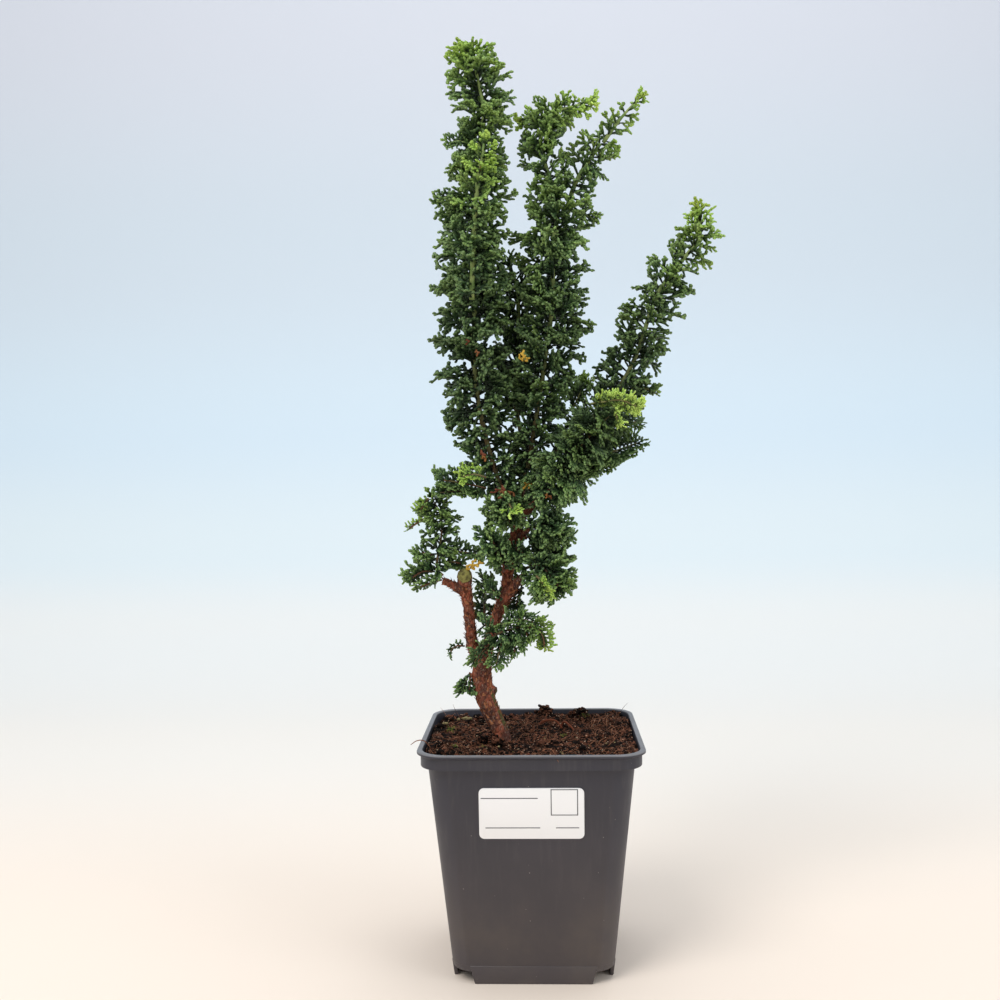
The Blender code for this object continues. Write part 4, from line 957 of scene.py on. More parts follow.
def in_box(point, margin):
    """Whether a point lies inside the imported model's box by a margin."""
    return all(low + margin < part < high - margin for low, part, high in zip(BOX_LOW, point, BOX_HIGH))


class Sharing:
    """Tells which leafy stem a point belongs to, by distance in units of each stem's own reach."""

    def __init__(self):
        """Notes every stem's places with their reach."""
        places = []
        owners = []
        for name, paths in STEMS.items():
            for _, points in paths:
                for row in smooth_path(points, 2.0):
                    places.append(row)
                    owners.append(name)
        self.places = np.array(places)
        self.owners = np.array(owners)

    def length(self, name, base, arm):
        """How long an arm from a stem may be before it enters another stem's crown."""
        mine = self.owners == name
        rival = ~np.isin(self.owners, (name, name + "_tip", name.removesuffix("_tip")))
        for share in CLIP_SHARES:
            point = np.array(base + arm * share)
            away = np.linalg.norm(self.places[:, :3] - point, axis=1) / self.places[:, 3]
            if in_box(point, BOX_MARGIN) and away[mine].min() < away[rival].min():
                break
        return arm.length * share


def kind_of(name):
    """The kind of frond on a stem."""
    if name in YOUNG_STEMS:
        return "young"
    return "fine" if name in FINE_STEMS else "thick"


def frond_rise(share, ends, chance):
    """How far a frond rises off its stem, which is more towards the stem's end."""
    rise = FROND_RISE[0] + (FROND_RISE[1] - FROND_RISE[0]) * (1 if ends else share)
    rise += chance.gauss(0, FROND_RISE[2])
    if ends:
        rise += TIP_RISE * smooth_share(0.75, 1.0, share)
    return rise


def frond_sag(name, share, stiff):
    """How far a frond hangs, which is less towards the stem's end."""
    if name == "lowest_spray":
        return HEAVY[name]
    return HEAVY.get(name, SAG) * (0 if stiff else 1 - 0.8 * share)


def dress_column(bm, fronds, sharing, name, points, young, chance):
    """Fronds all round a stem, each a golden turn on from the one below."""
    kind = kind_of(name)
    area = TIP_AREA if kind == "thick" and name.endswith("_tip") else AREAS[kind]
    path = smooth_path(points, 1.0)
    stems = directions(path)
    across = stems[0].orthogonal().normalized()
    turn = chance.uniform(0, 2 * math.pi)
    due = 0.5
    last = len(path) - 1
    ends = name + "_tip" not in STEMS
    bare = BARE_FRONTS.get(name, (0, 0, 0))
    for i, (row, stem) in enumerate(zip(path, stems)):
        if i:
            across.rotate(stems[i - 1].rotation_difference(stem))
            due += (row.xyz - path[i - 1].xyz).length * 2 * math.pi * row.w / area
        share = i / last
        while due >= 1 or (i == last and due > 0.3):
            due -= 1
            turn += FROND_TURN + chance.uniform(-0.5, 0.5)
            arm = turned(across, turn, stem)
            if bare[0] < row.z < bare[1] and arm.y < bare[2]:
                continue
            rise = frond_rise(share, ends, chance)
            sag = frond_sag(name, share, ends and kind == "thick")
            lump = 1 + 0.2 * noise.noise(row.xyz / 9 + arm * 1.3)
            length = 1.16 * row.w * chance.uniform(0.8, 1.06) * lump
            way = (arm * math.cos(rise) + stem * math.sin(rise) - Vector((0, 0, sag))).normalized()
            base = row.xyz + arm * 0.5
            length = max(FROND_LEAST, sharing.length(name, base, way * length))
            flat = turned(stem, chance.gauss(0, FROND_ROLL), way)
            fresh = young[0] + (young[1] - young[0]) * share**1.8 + chance.gauss(0, 0.08)
            fronds.add(bm, kind, base, way, flat, length, fresh, chance)
    if ends:
        for _ in range(3):
            way = (stems[-1] + Vector([chance.uniform(-0.5, 0.5) for _ in range(3)])).normalized()
            length = sharing.length(name, path[-1].xyz, way * path[-1].w * 0.8)
            fresh = young[1] + chance.gauss(0, 0.08)
            fronds.add(bm, kind, path[-1].xyz, way, across, length, fresh, chance)


def dress_spray(bm, fronds, name, points, young, chance):
    """A flat spray: fronds on both sides of a stem, in one plane."""
    path = smooth_path(points, 1.0)
    stems = directions(path)
    kind = "young" if name in YOUNG_STEMS else "fine"
    tilt = chance.choice((-1, 1)) * math.radians(chance.uniform(25, 60))
    due = 0.5
    way = 1
    last = len(path) - 1
    for i, (row, stem) in enumerate(zip(path, stems)):
        if i:
            due += (row.xyz - path[i - 1].xyz).length / SPRAY_STEP
        share = i / last
        side = turned(stem.cross(Vector((0, 0, 1))).normalized(), tilt, stem)
        while due >= 1:
            due -= 1
            way = -way
            lean = math.radians(chance.uniform(38, 62))
            arm = side * way * math.sin(lean) + stem * math.cos(lean)
            flat = turned(stem.cross(side), chance.gauss(0, 0.45), stem)
            length = max(3.0, row.w * chance.uniform(0.95, 1.25))
            fresh = young[0] + (young[1] - young[0]) * share + chance.gauss(0, 0.07)
            fronds.add(bm, kind, row.xyz, arm, flat, length, fresh, chance)
    flat = stems[-1].cross(side)
    base = path[-1].xyz - stems[-1] * 2
    fronds.add(bm, kind, base, stems[-1], flat, path[-1].w * 1.1, young[1], chance)


def make_foliage(fronds, sharing, leaf):
    """The fronds of each leafy stem, as one piece for each CAD node."""
    for name, paths in STEMS.items():
        chance = random.Random(f"{SEED} {name}")
        young = FRESH_ENDS.get(name, (0.0, 0.2))
        bm = bmesh.new()
        add_layers(bm)
        for shape, points in paths:
            if shape == "column":
                dress_column(bm, fronds, sharing, name, points, young, chance)
            else:
                dress_spray(bm, fronds, name, points, young, chance)
        new_piece(name + "_fronds", bm, leaf, [name])


def make_dead_leaves(fronds, material):
    """A few dry fronds and shreds left among the green ones."""
    chance = random.Random(SEED + 6)
    bm = bmesh.new()
    add_layers(bm)
    for x, y, z, length, slant, gold in DEAD_LEAVES:
        angle = math.radians(slant)
        way = Vector((math.cos(angle), math.copysign(0.4, y), math.sin(angle))).normalized()
        flat = Vector((chance.gauss(0, 0.5), -1, chance.gauss(0, 0.5)))
        flat = (flat - way * flat.dot(way)).normalized()
        fronds.add(bm, "fine", Vector((x, y, z)), way, flat, length, gold, chance)
    new_piece("dry_fronds", bm, material)


def leaf_material():
    """Scale leaves: painted shade deep in the fronds, at the base of each scale and through the middle of
    the crown, paler at the ends of the cords, lime where the growth is new.
    """
    material, tree, shader = new_material("scale leaves", 0.48, 0.4)
    place = object_place(tree)
    height = parts_of(tree, place)["Z"]
    outward = attribute(tree, "outward")
    fresh = attribute(tree, "fresh")
    tint = attribute(tree, "tint")
    speck = add_grain(tree, place, 900.0, 2.0)["Value"]
    scale = ramp(tree, maths(tree, "FRACT", attribute(tree, "leaf")), 0.0, 0.8)
    old = add_patches(tree, place, 55.0, 2.0, (0.35, 0.65), (0.019, 0.056, 0.017), (0.042, 0.106, 0.026))
    old = cover(tree, old, tint, (0.0, 1.0, 0.0, 0.6), (0.056, 0.126, 0.046))
    grown = cover(tree, old, outward, (0.55, 1.0, 0.0, 0.95), (0.240, 0.380, 0.120))
    shade = ramp(tree, height, *CROWN_SHADE_LOW)
    shade = maths(tree, "MULTIPLY", shade, ramp(tree, height, *CROWN_SHADE_HIGH, 1.0, 0.0))
    grown = cover(tree, grown, shade, (0.0, 1.0, 0.0, 0.45), (0.014, 0.034, 0.005))
    young = cover(tree, (0.085, 0.215, 0.026), outward, (0.1, 0.85), (0.450, 0.700, 0.100))
    gold = cover(tree, young, tint, (0.8, 1.0, 0.0, 0.35), (0.520, 0.520, 0.070))
    new = cover(tree, (0.270, 0.500, 0.070), outward, (0.1, 0.7), (0.720, 0.980, 0.210))
    gold = cover(tree, gold, fresh, (0.95, 1.25), new)
    base = cover(tree, grown, fresh, (0.05, 1.0), gold)
    # Painted shade at the base of each scale leaf, where the one before overlaps it
    base = cover(tree, base, scale, (0.0, 1.0, 0.55, 0.0), (0.010, 0.026, 0.010))
    # Painted shade: the inner part of each cord and frond, near its stem, goes almost black
    base = cover(tree, base, outward, (0.10, 0.62, 0.88, 0.0), (0.003, 0.008, 0.003))
    base = cover(tree, base, speck, (0.5, 0.8, 0.0, 0.35), (0.200, 0.260, 0.180))
    bump = add_node(tree, "ShaderNodeBump", {"Height": scale, "Distance": 0.0002, "Strength": 0.7})
    finish_surface(tree, shader, base, bump.outputs["Normal"])
    return material


def dry_material():
    """Dry fronds, from red-brown to gold."""
    material, tree, shader = new_material("dry fronds", 0.7, 0.3)
    tint = attribute(tree, "tint")
    gold = attribute(tree, "fresh")
    red = mix_colour(tree, tint, (0.200, 0.048, 0.022), (0.120, 0.040, 0.020))
    finish_surface(tree, shader, mix_colour(tree, gold, red, (0.520, 0.330, 0.045)))
    return material


# Wood


def wood_paths():
    """The paths of the trunk, its limbs and its small spurs."""
    return [TRUNK, *LIMBS[1:], [*LIMBS[0][:-1], *STUB]]


def make_bark_scales(material):
    """Small flakes that stand off the wood and point along it, thickest on the left limb."""
    chance = random.Random(SEED + 5)
    bm = bmesh.new()
    tint = bm.verts.layers.float.new("tint")
    for points, share, steep in SCALES:
        path = smooth_path(points, 1.0)
        stems = directions(path)
        for row, stem in zip(path, stems):
            count = share * row.w / 2.6
            for _ in range(int(count) + (chance.random() < count % 1)):
                arm = turned(stem.orthogonal().normalized(), chance.uniform(0, 2 * math.pi), stem)
                lift = math.radians(chance.uniform(0.4, 1) * steep)
                way = stem * math.cos(lift) + arm * math.sin(lift)
                base = row.xyz + arm * row.w + stem * chance.uniform(-0.5, 0.5)
                size = chance.uniform(*SCALE_LENGTHS)
                turn = turned_axes(arm.cross(way).normalized(), arm, way)
                form = Matrix.Diagonal((chance.uniform(*SCALE_WIDTHS), SCALE_THICK, size, 1))
                matrix = Matrix.Translation(base + way * size * 0.3) @ turn @ form
                made = bmesh.ops.create_cone(
                    bm, cap_ends=True, segments=4, radius1=0.75, radius2=0.12, depth=1, matrix=matrix
                )["verts"]
                shade = chance.random()
                for vert in made:
                    vert[tint] = shade
    new_piece("bark_scales", bm, material, (), 30)


def bark_height(place):
    """How far the bark stands out at a point, and how deep in a crack the point is."""
    bent = place + 1.1 * noise.noise_vector(place * 0.45)
    plates = noise.voronoi((bent.x * 0.5, bent.y * 0.5, bent.z * 0.26))[0]
    crack = 1 - smooth_share(0.02, 0.16, plates[1] - plates[0])
    ridge = noise.noise((place.x * 1.5, place.y * 1.5, place.z * 0.35))
    curl = noise.noise((place.x * 0.5, place.y * 0.5, place.z * 0.9))
    return 0.46 * (1 - crack) + 0.28 * ridge + 0.22 * curl - 0.12, crack


def wood_skin():
    """The trunk, its limbs and its stub, run together into one skin."""
    bm = bmesh.new()
    for points in wood_paths():
        add_tube(bm, smooth_path(points, 2.5), 12)
    for x, y, z, radius in KNOBS:
        place = Matrix.Translation((x, y, z)) @ Matrix.Diagonal((1, 1, 1.3, 1))
        bmesh.ops.create_icosphere(bm, subdivisions=2, radius=radius, matrix=place)
    wood = new_object("trunk_bark", bm)
    remesh = wood.modifiers.new("one skin", "REMESH")
    remesh.mode = "VOXEL"
    remesh.voxel_size = WOOD_VOXEL * MM
    rounding = wood.modifiers.new("soften the joins", "SMOOTH")
    rounding.iterations = 2
    return settle(wood)


def green_share(place, normal):
    """How green the bark is: a little all over, and more on the right side of the low trunk."""
    damp = 0.5 + 0.5 * noise.noise(place / 4.5)
    blotch = 0.5 + 0.5 * noise.noise(place / 1.6)
    low_trunk = smooth_share(112, 121, place.z), smooth_share(145, 136, place.z)
    side = smooth_share(0.3, 0.8, normal.x) * low_trunk[0] * low_trunk[1]
    return max(0.4 * damp, side * (0.1 + 0.5 * damp + 0.7 * blotch))


def make_wood(material):
    """The trunk and limbs, with bark that stands out, cracks in it and the smooth cut of the stub."""
    wood = wood_skin()
    mesh = wood.data
    back = TO_WORLD.inverted()
    face = Vector(STUB[-1][:3])
    facing = (face - Vector(STUB[-2][:3])).normalized()
    places = [vert.co.copy() for vert in mesh.vertices]
    normals = [vert.normal.copy() for vert in mesh.vertices]
    cracks, cuts, greens, moved = [], [], [], []
    for spot, normal in zip(places, normals):
        place = back @ spot
        rise, crack = bark_height(place)
        cut = (face - place).length < CUT_REACH and normal.dot(facing) > CUT_FACING
        cracks.append(0 if cut else crack)
        cuts.append(1 if cut else 0)
        greens.append(green_share(place, normal))
        moved.extend(spot + normal * rise * MM * (0.06 if cut else 1))
    mesh.vertices.foreach_set("co", moved)
    for name, values in (("crack", cracks), ("cut", cuts), ("green", greens)):
        mesh.attributes.new(name, "FLOAT", "POINT").data.foreach_set("value", values)
    mesh.shade_smooth()
    mesh.materials.append(material)
    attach(wood, "root")
    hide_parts("trunk")


def make_inner_stems(material):
    """The green stems that the fronds grow from."""
    bm = bmesh.new()
    for name, paths in STEMS.items():
        for shape, points in paths:
            path = smooth_path(points, 3.0)
            last = len(path) - 1
            start, end = (1.2, 0.6) if name.endswith("_tip") else (1.4, 1.1)
            if kind_of(name) != "thick":
                start, end = 0.8, 0.4
            for i, row in enumerate(path):
                row.w = 0.5 if shape == "spray" else start + (end - start) * i / last
            add_tube(bm, path, 6)
    new_piece("leafy_stems", bm, material)


def bark_material():
    """Flaking red-brown bark with cracks darkened by their own colour and by painted shade, a green side,
    and the pale wood of the cut.
    """
    material, tree, shader = new_material("flaking bark", 0.85, 0.25)
    place = object_place(tree, (1, 1, 0.35))
    crack = attribute(tree, "crack")
    cut = attribute(tree, "cut")
    green = attribute(tree, "green")
    grain = add_grain(tree, place, 1500.0, 3.0, 0.0003, 0.8)
    base = add_patches(tree, place, 220.0, 3.0, (0.40, 0.64), (0.092, 0.034, 0.024), (0.330, 0.088, 0.044))
    base = cover(tree, base, grain["Value"], (0.53, 0.66, 0.0, 0.6), (0.330, 0.230, 0.170))
    # The cracks are darkened partly by the bark's own darker fissures and partly by painted shade in the
    # recesses
    base = cover(tree, base, crack, (0.2, 1.0, 0.0, 0.75), (0.035, 0.014, 0.010))
    base = cover(tree, base, green, (0.45, 0.85, 0.0, 0.7), (0.085, 0.100, 0.026))
    place = object_place(tree)
    wood = add_patches(tree, place, 420.0, 3.0, (0.38, 0.60), (0.070, 0.058, 0.020), (0.215, 0.200, 0.058))
    finish_surface(tree, shader, mix_colour(tree, cut, base, wood), grain["Normal"])
    return material


def stem_material():
    """Green stems, which are brown below."""
    material, tree, shader = new_material("green stems", 0.6, 0.3)
    place = object_place(tree)
    high = ramp(tree, parts_of(tree, place)["Z"], 0.22, 0.36)
    young = add_patches(tree, place, 180.0, 3.0, (0.35, 0.65), (0.130, 0.220, 0.055), (0.290, 0.360, 0.120))
    old = add_patches(tree, place, 180.0, 3.0, (0.40, 0.60), (0.160, 0.070, 0.040), (0.150, 0.120, 0.050))
    finish_surface(tree, shader, mix_colour(tree, high, old, young))
    return material


# Potting mix


def soil_height(x, y):
    """The lumpy top of the potting mix, higher in the middle and towards the sides and back."""
    middle = max(0, 1 - (x**2 + y**2) / BAND_HALF**2)
    back_left = smooth_share(10, 40, y) * smooth_share(-10, -35, x)
    sides = SOIL_RISE * smooth_share(28, 47, abs(x)) * (1 - back_left)
    back = SOIL_RISE * smooth_share(28, 44, y) * smooth_share(-30, 5, x)
    lump = SOIL_LUMP * noise.noise(Vector((x, y, 0)) / SOIL_LUMP_SIZE)
    return SOIL_LEVEL + SOIL_MOUND * middle + max(sides, back) + lump


def crust_height(x, y):
    """The same with its crumbs."""
    rough = noise.noise((x / 3.1, y / 3.1, 3)) + 0.7 * noise.noise((x / 1.1, y / 1.1, 8))
    clod = 1 - noise.voronoi((x / 3.4, y / 3.4, 0.5))[0][0]
    return soil_height(x, y) + 0.9 * rough + 1.5 * clod - 0.8


def make_soil(material):
    """The mix that fills the pot, with its crumbly top."""
    top = BAND_HALF - WALL - GAP
    shoulder = BODY_TOP_HALF - WALL - GAP
    bottom = BODY_BOTTOM_HALF - WALL - GAP
    corner = CORNER_RADIUS * top / bottom
    bm = bmesh.new()
    bmesh.ops.create_grid(bm, x_segments=SOIL_CELLS, y_segments=SOIL_CELLS, size=top)
    rim = open_edges(bm)
    for vert in bm.verts:
        x, y = (math.copysign(max(0, abs(part) - top + corner), part) for part in vert.co.xy)
        vert.co.x += x * (math.sqrt(1 - (y / corner) ** 2 / 2) - 1)
        vert.co.y += y * (math.sqrt(1 - (x / corner) ** 2 / 2) - 1)
        vert.co.z = crust_height(vert.co.x, vert.co.y)
    half = top
    for next_half, height in ((top, BAND_Z + 1.2), (shoulder, BAND_Z + GAP), (bottom, FLOOR_Z + WALL + GAP)):
        ring, rim = new_ring(bm, rim)
        for vert in ring:
            vert.co = (*(vert.co.xy * next_half / half), height)
        half = next_half
    bmesh.ops.contextual_create(bm, geom=rim)
    bmesh.ops.recalc_face_normals(bm, faces=bm.faces)
    new_piece("soil_crust", bm, material, ["soil"])


def soil_place(chance, spread=SOIL_SPREAD):
    """A place somewhere on the mix."""
    x = chance.uniform(-spread, spread)
    y = chance.uniform(-spread, spread)
    return x, y


def crumb_places(chance):
    """Where the loose crumbs lie and how large they are: strewn, and heaped at the rim and trunk."""
    places = [(*soil_place(chance), chance.uniform(*CRUMB_SIZES)) for _ in range(CRUMBS)]
    places += [(*soil_place(chance), chance.uniform(*LUMP_SIZES)) for _ in range(LUMPS)]
    places = [(x, y, crust_height(x, y) + 0.3 * size, size) for x, y, size in places]
    wide, deep, tall = HEAP_SHAPE
    for x, y, z, spread in HEAPS:
        for _ in range(round(HEAP_CRUMBS * spread)):
            way = Vector([chance.gauss(0, 1) for _ in range(3)]).normalized()
            way = way * spread * chance.uniform(*HEAP_REACH)
            size = chance.uniform(*HEAP_SIZES)
            places.append((x + way.x * wide, y + way.y * deep, z + way.z * tall, size))
    return places


def make_crumbs(material):
    """Loose crumbs of the mix, each with its own form and tint."""
    chance = random.Random(SEED + 1)
    bm = bmesh.new()
    bm.verts.layers.float.new("tint")
    for x, y, z, size in crumb_places(chance):
        matrix = (
            Matrix.Translation((x, y, z))
            @ Matrix.Rotation(chance.uniform(0, 6), 4, "Z")
            @ Matrix.Diagonal((size * chance.uniform(0.8, 1.5), size, size * chance.uniform(0.55, 0.95), 1))
        )
        level = 1 if size < ROUNDER_SIZE else 2
        crumb = bmesh.new()
        tint = crumb.verts.layers.float.new("tint")
        bmesh.ops.create_icosphere(crumb, subdivisions=level, radius=1, matrix=matrix)
        shade = chance.random() * (1 if size < SPECK_SIZE else 0.8)
        for vert in crumb.verts:
            push = 0.4 * noise.noise(vert.co / (0.8 * size)) + 0.35 * noise.noise(vert.co / 0.5)
            vert.co += (vert.co - Vector((x, y, z))) * push
            vert[tint] = shade
        merge(bm, crumb)
    new_piece("soil_crumbs", bm, material)


def strand_path(start, turn, length, radius, wander, chance):
    """A thin strand that wanders over the soil."""
    x, y = start
    path = []
    steps = max(4, round(length / 1.6))
    hop = chance.uniform(0.4, 1.6)
    for i in range(steps + 1):
        share = i / steps
        z = crust_height(x, y) + 0.25 + hop * math.sin(math.pi * share)
        path.append(Vector((x, y, z, radius * (1 - 0.7 * share))))
        turn += chance.uniform(-wander, wander)
        x += math.cos(turn) * length / steps
        y += math.sin(turn) * length / steps
        x, y = (min(FIBRE_LIMIT, max(-FIBRE_LIMIT, part)) for part in (x, y))
    return path


def bundle_path(chance):
    """One fibre of the bundle that stands up at the right."""
    low = Vector((chance.uniform(30, 47), chance.uniform(-6, 30), 111.5))
    high = low + Vector((chance.gauss(3, 4), chance.uniform(4, 14), chance.uniform(1.5, 6)))
    high.x = min(high.x, 50)
    high.y = min(high.y, 44)
    bend = Vector((chance.gauss(0, 1.5), chance.gauss(0, 1.5), chance.uniform(1, 3)))
    middle = (low + high) / 2 + bend
    width = chance.uniform(0.08, 0.17)
    return smooth_path([(*low, width), (*middle, width), (*high, 0.3 * width)], 1.6)


def make_fibres(material):
    """Fine roots and bark fibres in the mix, some hanging over the rim."""
    chance = random.Random(SEED + 2)
    bm = bmesh.new()
    bm.verts.layers.float.new("tint")
    paths = []
    for _ in range(FIBRES):
        length = chance.uniform(*FIBRE_LENGTHS)
        turn = chance.uniform(0, 2 * math.pi)
        start = soil_place(chance)
        paths.append(strand_path(start, turn, length, chance.uniform(*FIBRE_RADII), 0.8, chance))
    paths += [bundle_path(chance) for _ in range(BUNDLE)]
    paths += [smooth_path(points, 1.2) for points in HAIRS]
    for path in paths:
        shade = chance.random()
        strand = bmesh.new()
        tint = strand.verts.layers.float.new("tint")
        for vert in add_tube(strand, path, 4):
            vert[tint] = shade
        merge(bm, strand)
    new_piece("soil_fibres", bm, material)


def make_roots(material):
    """The two bare roots that show on the mix."""
    bm = bmesh.new()
    for points in ROOTS:
        path = smooth_path(points, 0.8)
        for i, row in enumerate(path):
            row.w *= 1 + 0.25 * noise.noise((i * 0.9, row.x, 5))
        add_tube(bm, path, 8)
    new_piece("bare_roots", bm, material)


def make_grit(material):
    """Cream grains in the mix."""
    chance = random.Random(SEED + 3)
    bm = bmesh.new()
    places = list(GRAINS)
    for _ in range(LOOSE_GRAINS):
        places.append((*soil_place(chance, GRAIN_SPREAD), chance.uniform(*LOOSE_GRAIN_SIZES)))
    for x, y, size in places:
        height = crust_height(x, y) + (1.6 if size > 0.8 else 0.3 * size)
        matrix = (
            Matrix.Translation((x, y, height))
            @ Matrix.Rotation(chance.uniform(0, 6), 4, "Z")
            @ Matrix.Diagonal((1.25, 0.9, 0.75, 1))
        )
        made = bmesh.ops.create_icosphere(bm, subdivisions=2, radius=size, matrix=matrix)["verts"]
        for vert in made:
            vert.co += noise.noise_vector(vert.co / (0.6 * size)) * 0.7 * size
    new_piece("soil_grains", bm, material)


def make_moss(material):
    """Small green tufts on the mix."""
    chance = random.Random(SEED + 4)
    bm = bmesh.new()
    tint = bm.verts.layers.float.new("tint")
    for x, y, spread in MOSS:
        for _ in range(round(26 * spread)):
            px = x + chance.gauss(0, spread)
            py = y + chance.gauss(0, spread)
            z = crust_height(px, py)
            tall = chance.uniform(0.6, 1.8)
            lean = Vector((chance.gauss(0, 0.5), chance.gauss(0, 0.5), 1)).normalized() * tall
            foot = Vector((px, py, z))
            path = [(px, py, z - 0.3, 0.16), (*(foot + lean * 0.6), 0.2), (*(foot + lean), 0.04)]
            path = [Vector(row) for row in path]
            shade = chance.random()
            for vert in add_tube(bm, path, 4):
                vert[tint] = shade
    new_piece("moss", bm, material)


def tinted_material(name):
    """A matt finish between two tones, by its pieces' own tint and a fine noise."""
    roughness, dark, light, scale, bump = FINISHES[name]
    material, tree, shader = new_material(name, roughness, 0.12)
    grain = add_grain(tree, object_place(tree), scale, 4.0, bump, 0.8)
    tint = attribute(tree, "tint")
    share = maths(tree, "ADD", ramp(tree, grain["Value"], 0.3, 0.7, 0.0, 0.6), tint)
    finish_surface(tree, shader, cover(tree, dark, share, (0.2, 1.4), light), grain["Normal"])
    return material


def soil_material():
    """Dark brown mix, with red-brown, olive and cream bits by each crumb's own tint."""
    material, tree, shader = new_material("potting mix", 0.95, 0.12)
    place = object_place(tree)
    grain = add_grain(tree, place, 620.0, 5.0, 0.0012, 0.9)
    spot = noise_value(tree, place, 800.0, 2.0)
    tint = attribute(tree, "tint")
    dark = noise_value(tree, place, 190.0, 4.0)
    base = cover(tree, (0.005, 0.002, 0.001), grain["Value"], (0.44, 0.66), (0.200, 0.078, 0.044))
    # Painted shade: near-black patches stand in for the shadowed gaps between crumbs
    base = cover(tree, base, dark, (0.42, 0.57, 0.97, 0.0), (0.003, 0.0015, 0.001))
    for low, high, tone in SOIL_TINTS:
        base = cover(tree, base, tint, (low, high, 0.0, 0.85), tone)
    base = cover(tree, base, spot, (0.66, 0.69, 0.0, 0.9), (0.560, 0.380, 0.270))
    finish_surface(tree, shader, base, grain["Normal"])
    return material


# Pot


def body_half(z):
    """Half the outer width of the tapered body at height z."""
    share = (z - FLOOR_Z) / (BAND_Z - FLOOR_Z)
    return BODY_BOTTOM_HALF + share * (BODY_TOP_HALF - BODY_BOTTOM_HALF)


def pot_profile():
    """The pot's section, as (half width, height), from the underside round to the inner floor."""
    lip_z = POT_HEIGHT - LIP_THICK
    inner = BAND_HALF - LIP_WALL
    body_in = BODY_TOP_HALF - WALL
    floor_in = BODY_BOTTOM_HALF - WALL
    return [
        (BODY_BOTTOM_HALF - 0.8, FLOOR_Z), (BODY_BOTTOM_HALF - 0.4, FLOOR_Z + 0.1),
        (BODY_BOTTOM_HALF - LEDGE, FLOOR_Z + 0.45), (body_half(SKIRT_TOP) - LEDGE, SKIRT_TOP - 0.1),
        (body_half(SKIRT_TOP), SKIRT_TOP + 0.15), (body_half(BAND_Z - 0.3), BAND_Z - 0.3),
        (BODY_TOP_HALF + 0.15, BAND_Z), (BODY_TOP_HALF + 0.5, BAND_Z + 0.12),
        (BAND_HALF - 0.6, BAND_Z + 0.3), (BAND_HALF - 0.15, BAND_Z + 0.42), (BAND_HALF, BAND_Z + 0.75),
        (BAND_HALF, lip_z - 0.95), (BAND_HALF + 0.12, lip_z - 0.7), (BAND_HALF + 0.45, lip_z - 0.5),
        (LIP_HALF - 0.35, lip_z - 0.05), (LIP_HALF - 0.08, lip_z + 0.15), (LIP_HALF, lip_z + 0.45),
        (LIP_HALF, POT_HEIGHT - 0.5), (LIP_HALF - 0.12, POT_HEIGHT - 0.18), (LIP_HALF - 0.5, POT_HEIGHT),
        (inner + 0.4, POT_HEIGHT), (inner + 0.1, POT_HEIGHT - 0.1), (inner, POT_HEIGHT - 0.4),
        (inner, BAND_Z + 1.3), (inner - 0.2, BAND_Z + 1.0), (body_in + 0.3, BAND_Z + 0.25),
        (body_in, BAND_Z - 0.2), (floor_in + 0.1, FLOOR_Z + WALL + 0.5), (floor_in - 0.6, FLOOR_Z + WALL),
    ]


def make_pot(material):
    """The pot's shell with its drainage holes and its four foot skirts."""
    bm = square_loft(pot_profile(), CORNER_STEPS)
    rings = [[] for _ in range(HOLE_COUNT)]
    for end in [face for face in bm.faces if len(face.verts) > 4]:
        level = Matrix.Translation((0, 0, end.calc_center_median().z))
        edges = end.edges[:]
        bmesh.ops.delete(bm, geom=[end], context="FACES_ONLY")
        for index, ring in enumerate(rings):
            away = HOLE_RING if index else 0
            place = Matrix.Rotation(index * 2 * math.pi / (HOLE_COUNT - 1), 4, "Z")
            place = level @ place @ Matrix.Translation((away, 0, 0))
            made = bmesh.ops.create_circle(bm, segments=24, radius=HOLE_RADIUS, matrix=place)["verts"]
            rim = edges_at(made)
            ring += rim
            edges += rim
        bmesh.ops.triangle_fill(bm, use_beauty=True, edges=edges)
    for ring in rings:
        bmesh.ops.bridge_loops(bm, edges=ring)
    bmesh.ops.recalc_face_normals(bm, faces=bm.faces)
    for turn in range(4):
        add_foot(bm, Matrix.Rotation(turn * math.pi / 2, 4, "Z"))
    new_piece("pot_shell", bm, material, ["pot"], 28)


def add_foot(bm, turn):
    """One foot skirt: the wall carried down to the ground between two corner notches."""
    made = bmesh.ops.create_cube(bm, size=1)["verts"]
    for vert in made:
        high = vert.co.z > 0
        outside = vert.co.y < 0
        z = SKIRT_TOP if high else 0
        y = body_half(z) + (SKIRT_PROUD if outside else -FOOT_THICK)
        x = FOOT_HALF_LENGTH + FOOT_END_SLANT * z / SKIRT_TOP
        vert.co = (math.copysign(x, vert.co.x), -y, z)
    bevelled = bmesh.ops.bevel(
        bm, geom=edges_at(made), offset=0.4, segments=3, profile=0.5, affect="EDGES", material=-1
    )
    bmesh.ops.transform(bm, matrix=turn, verts=bevelled["verts"])


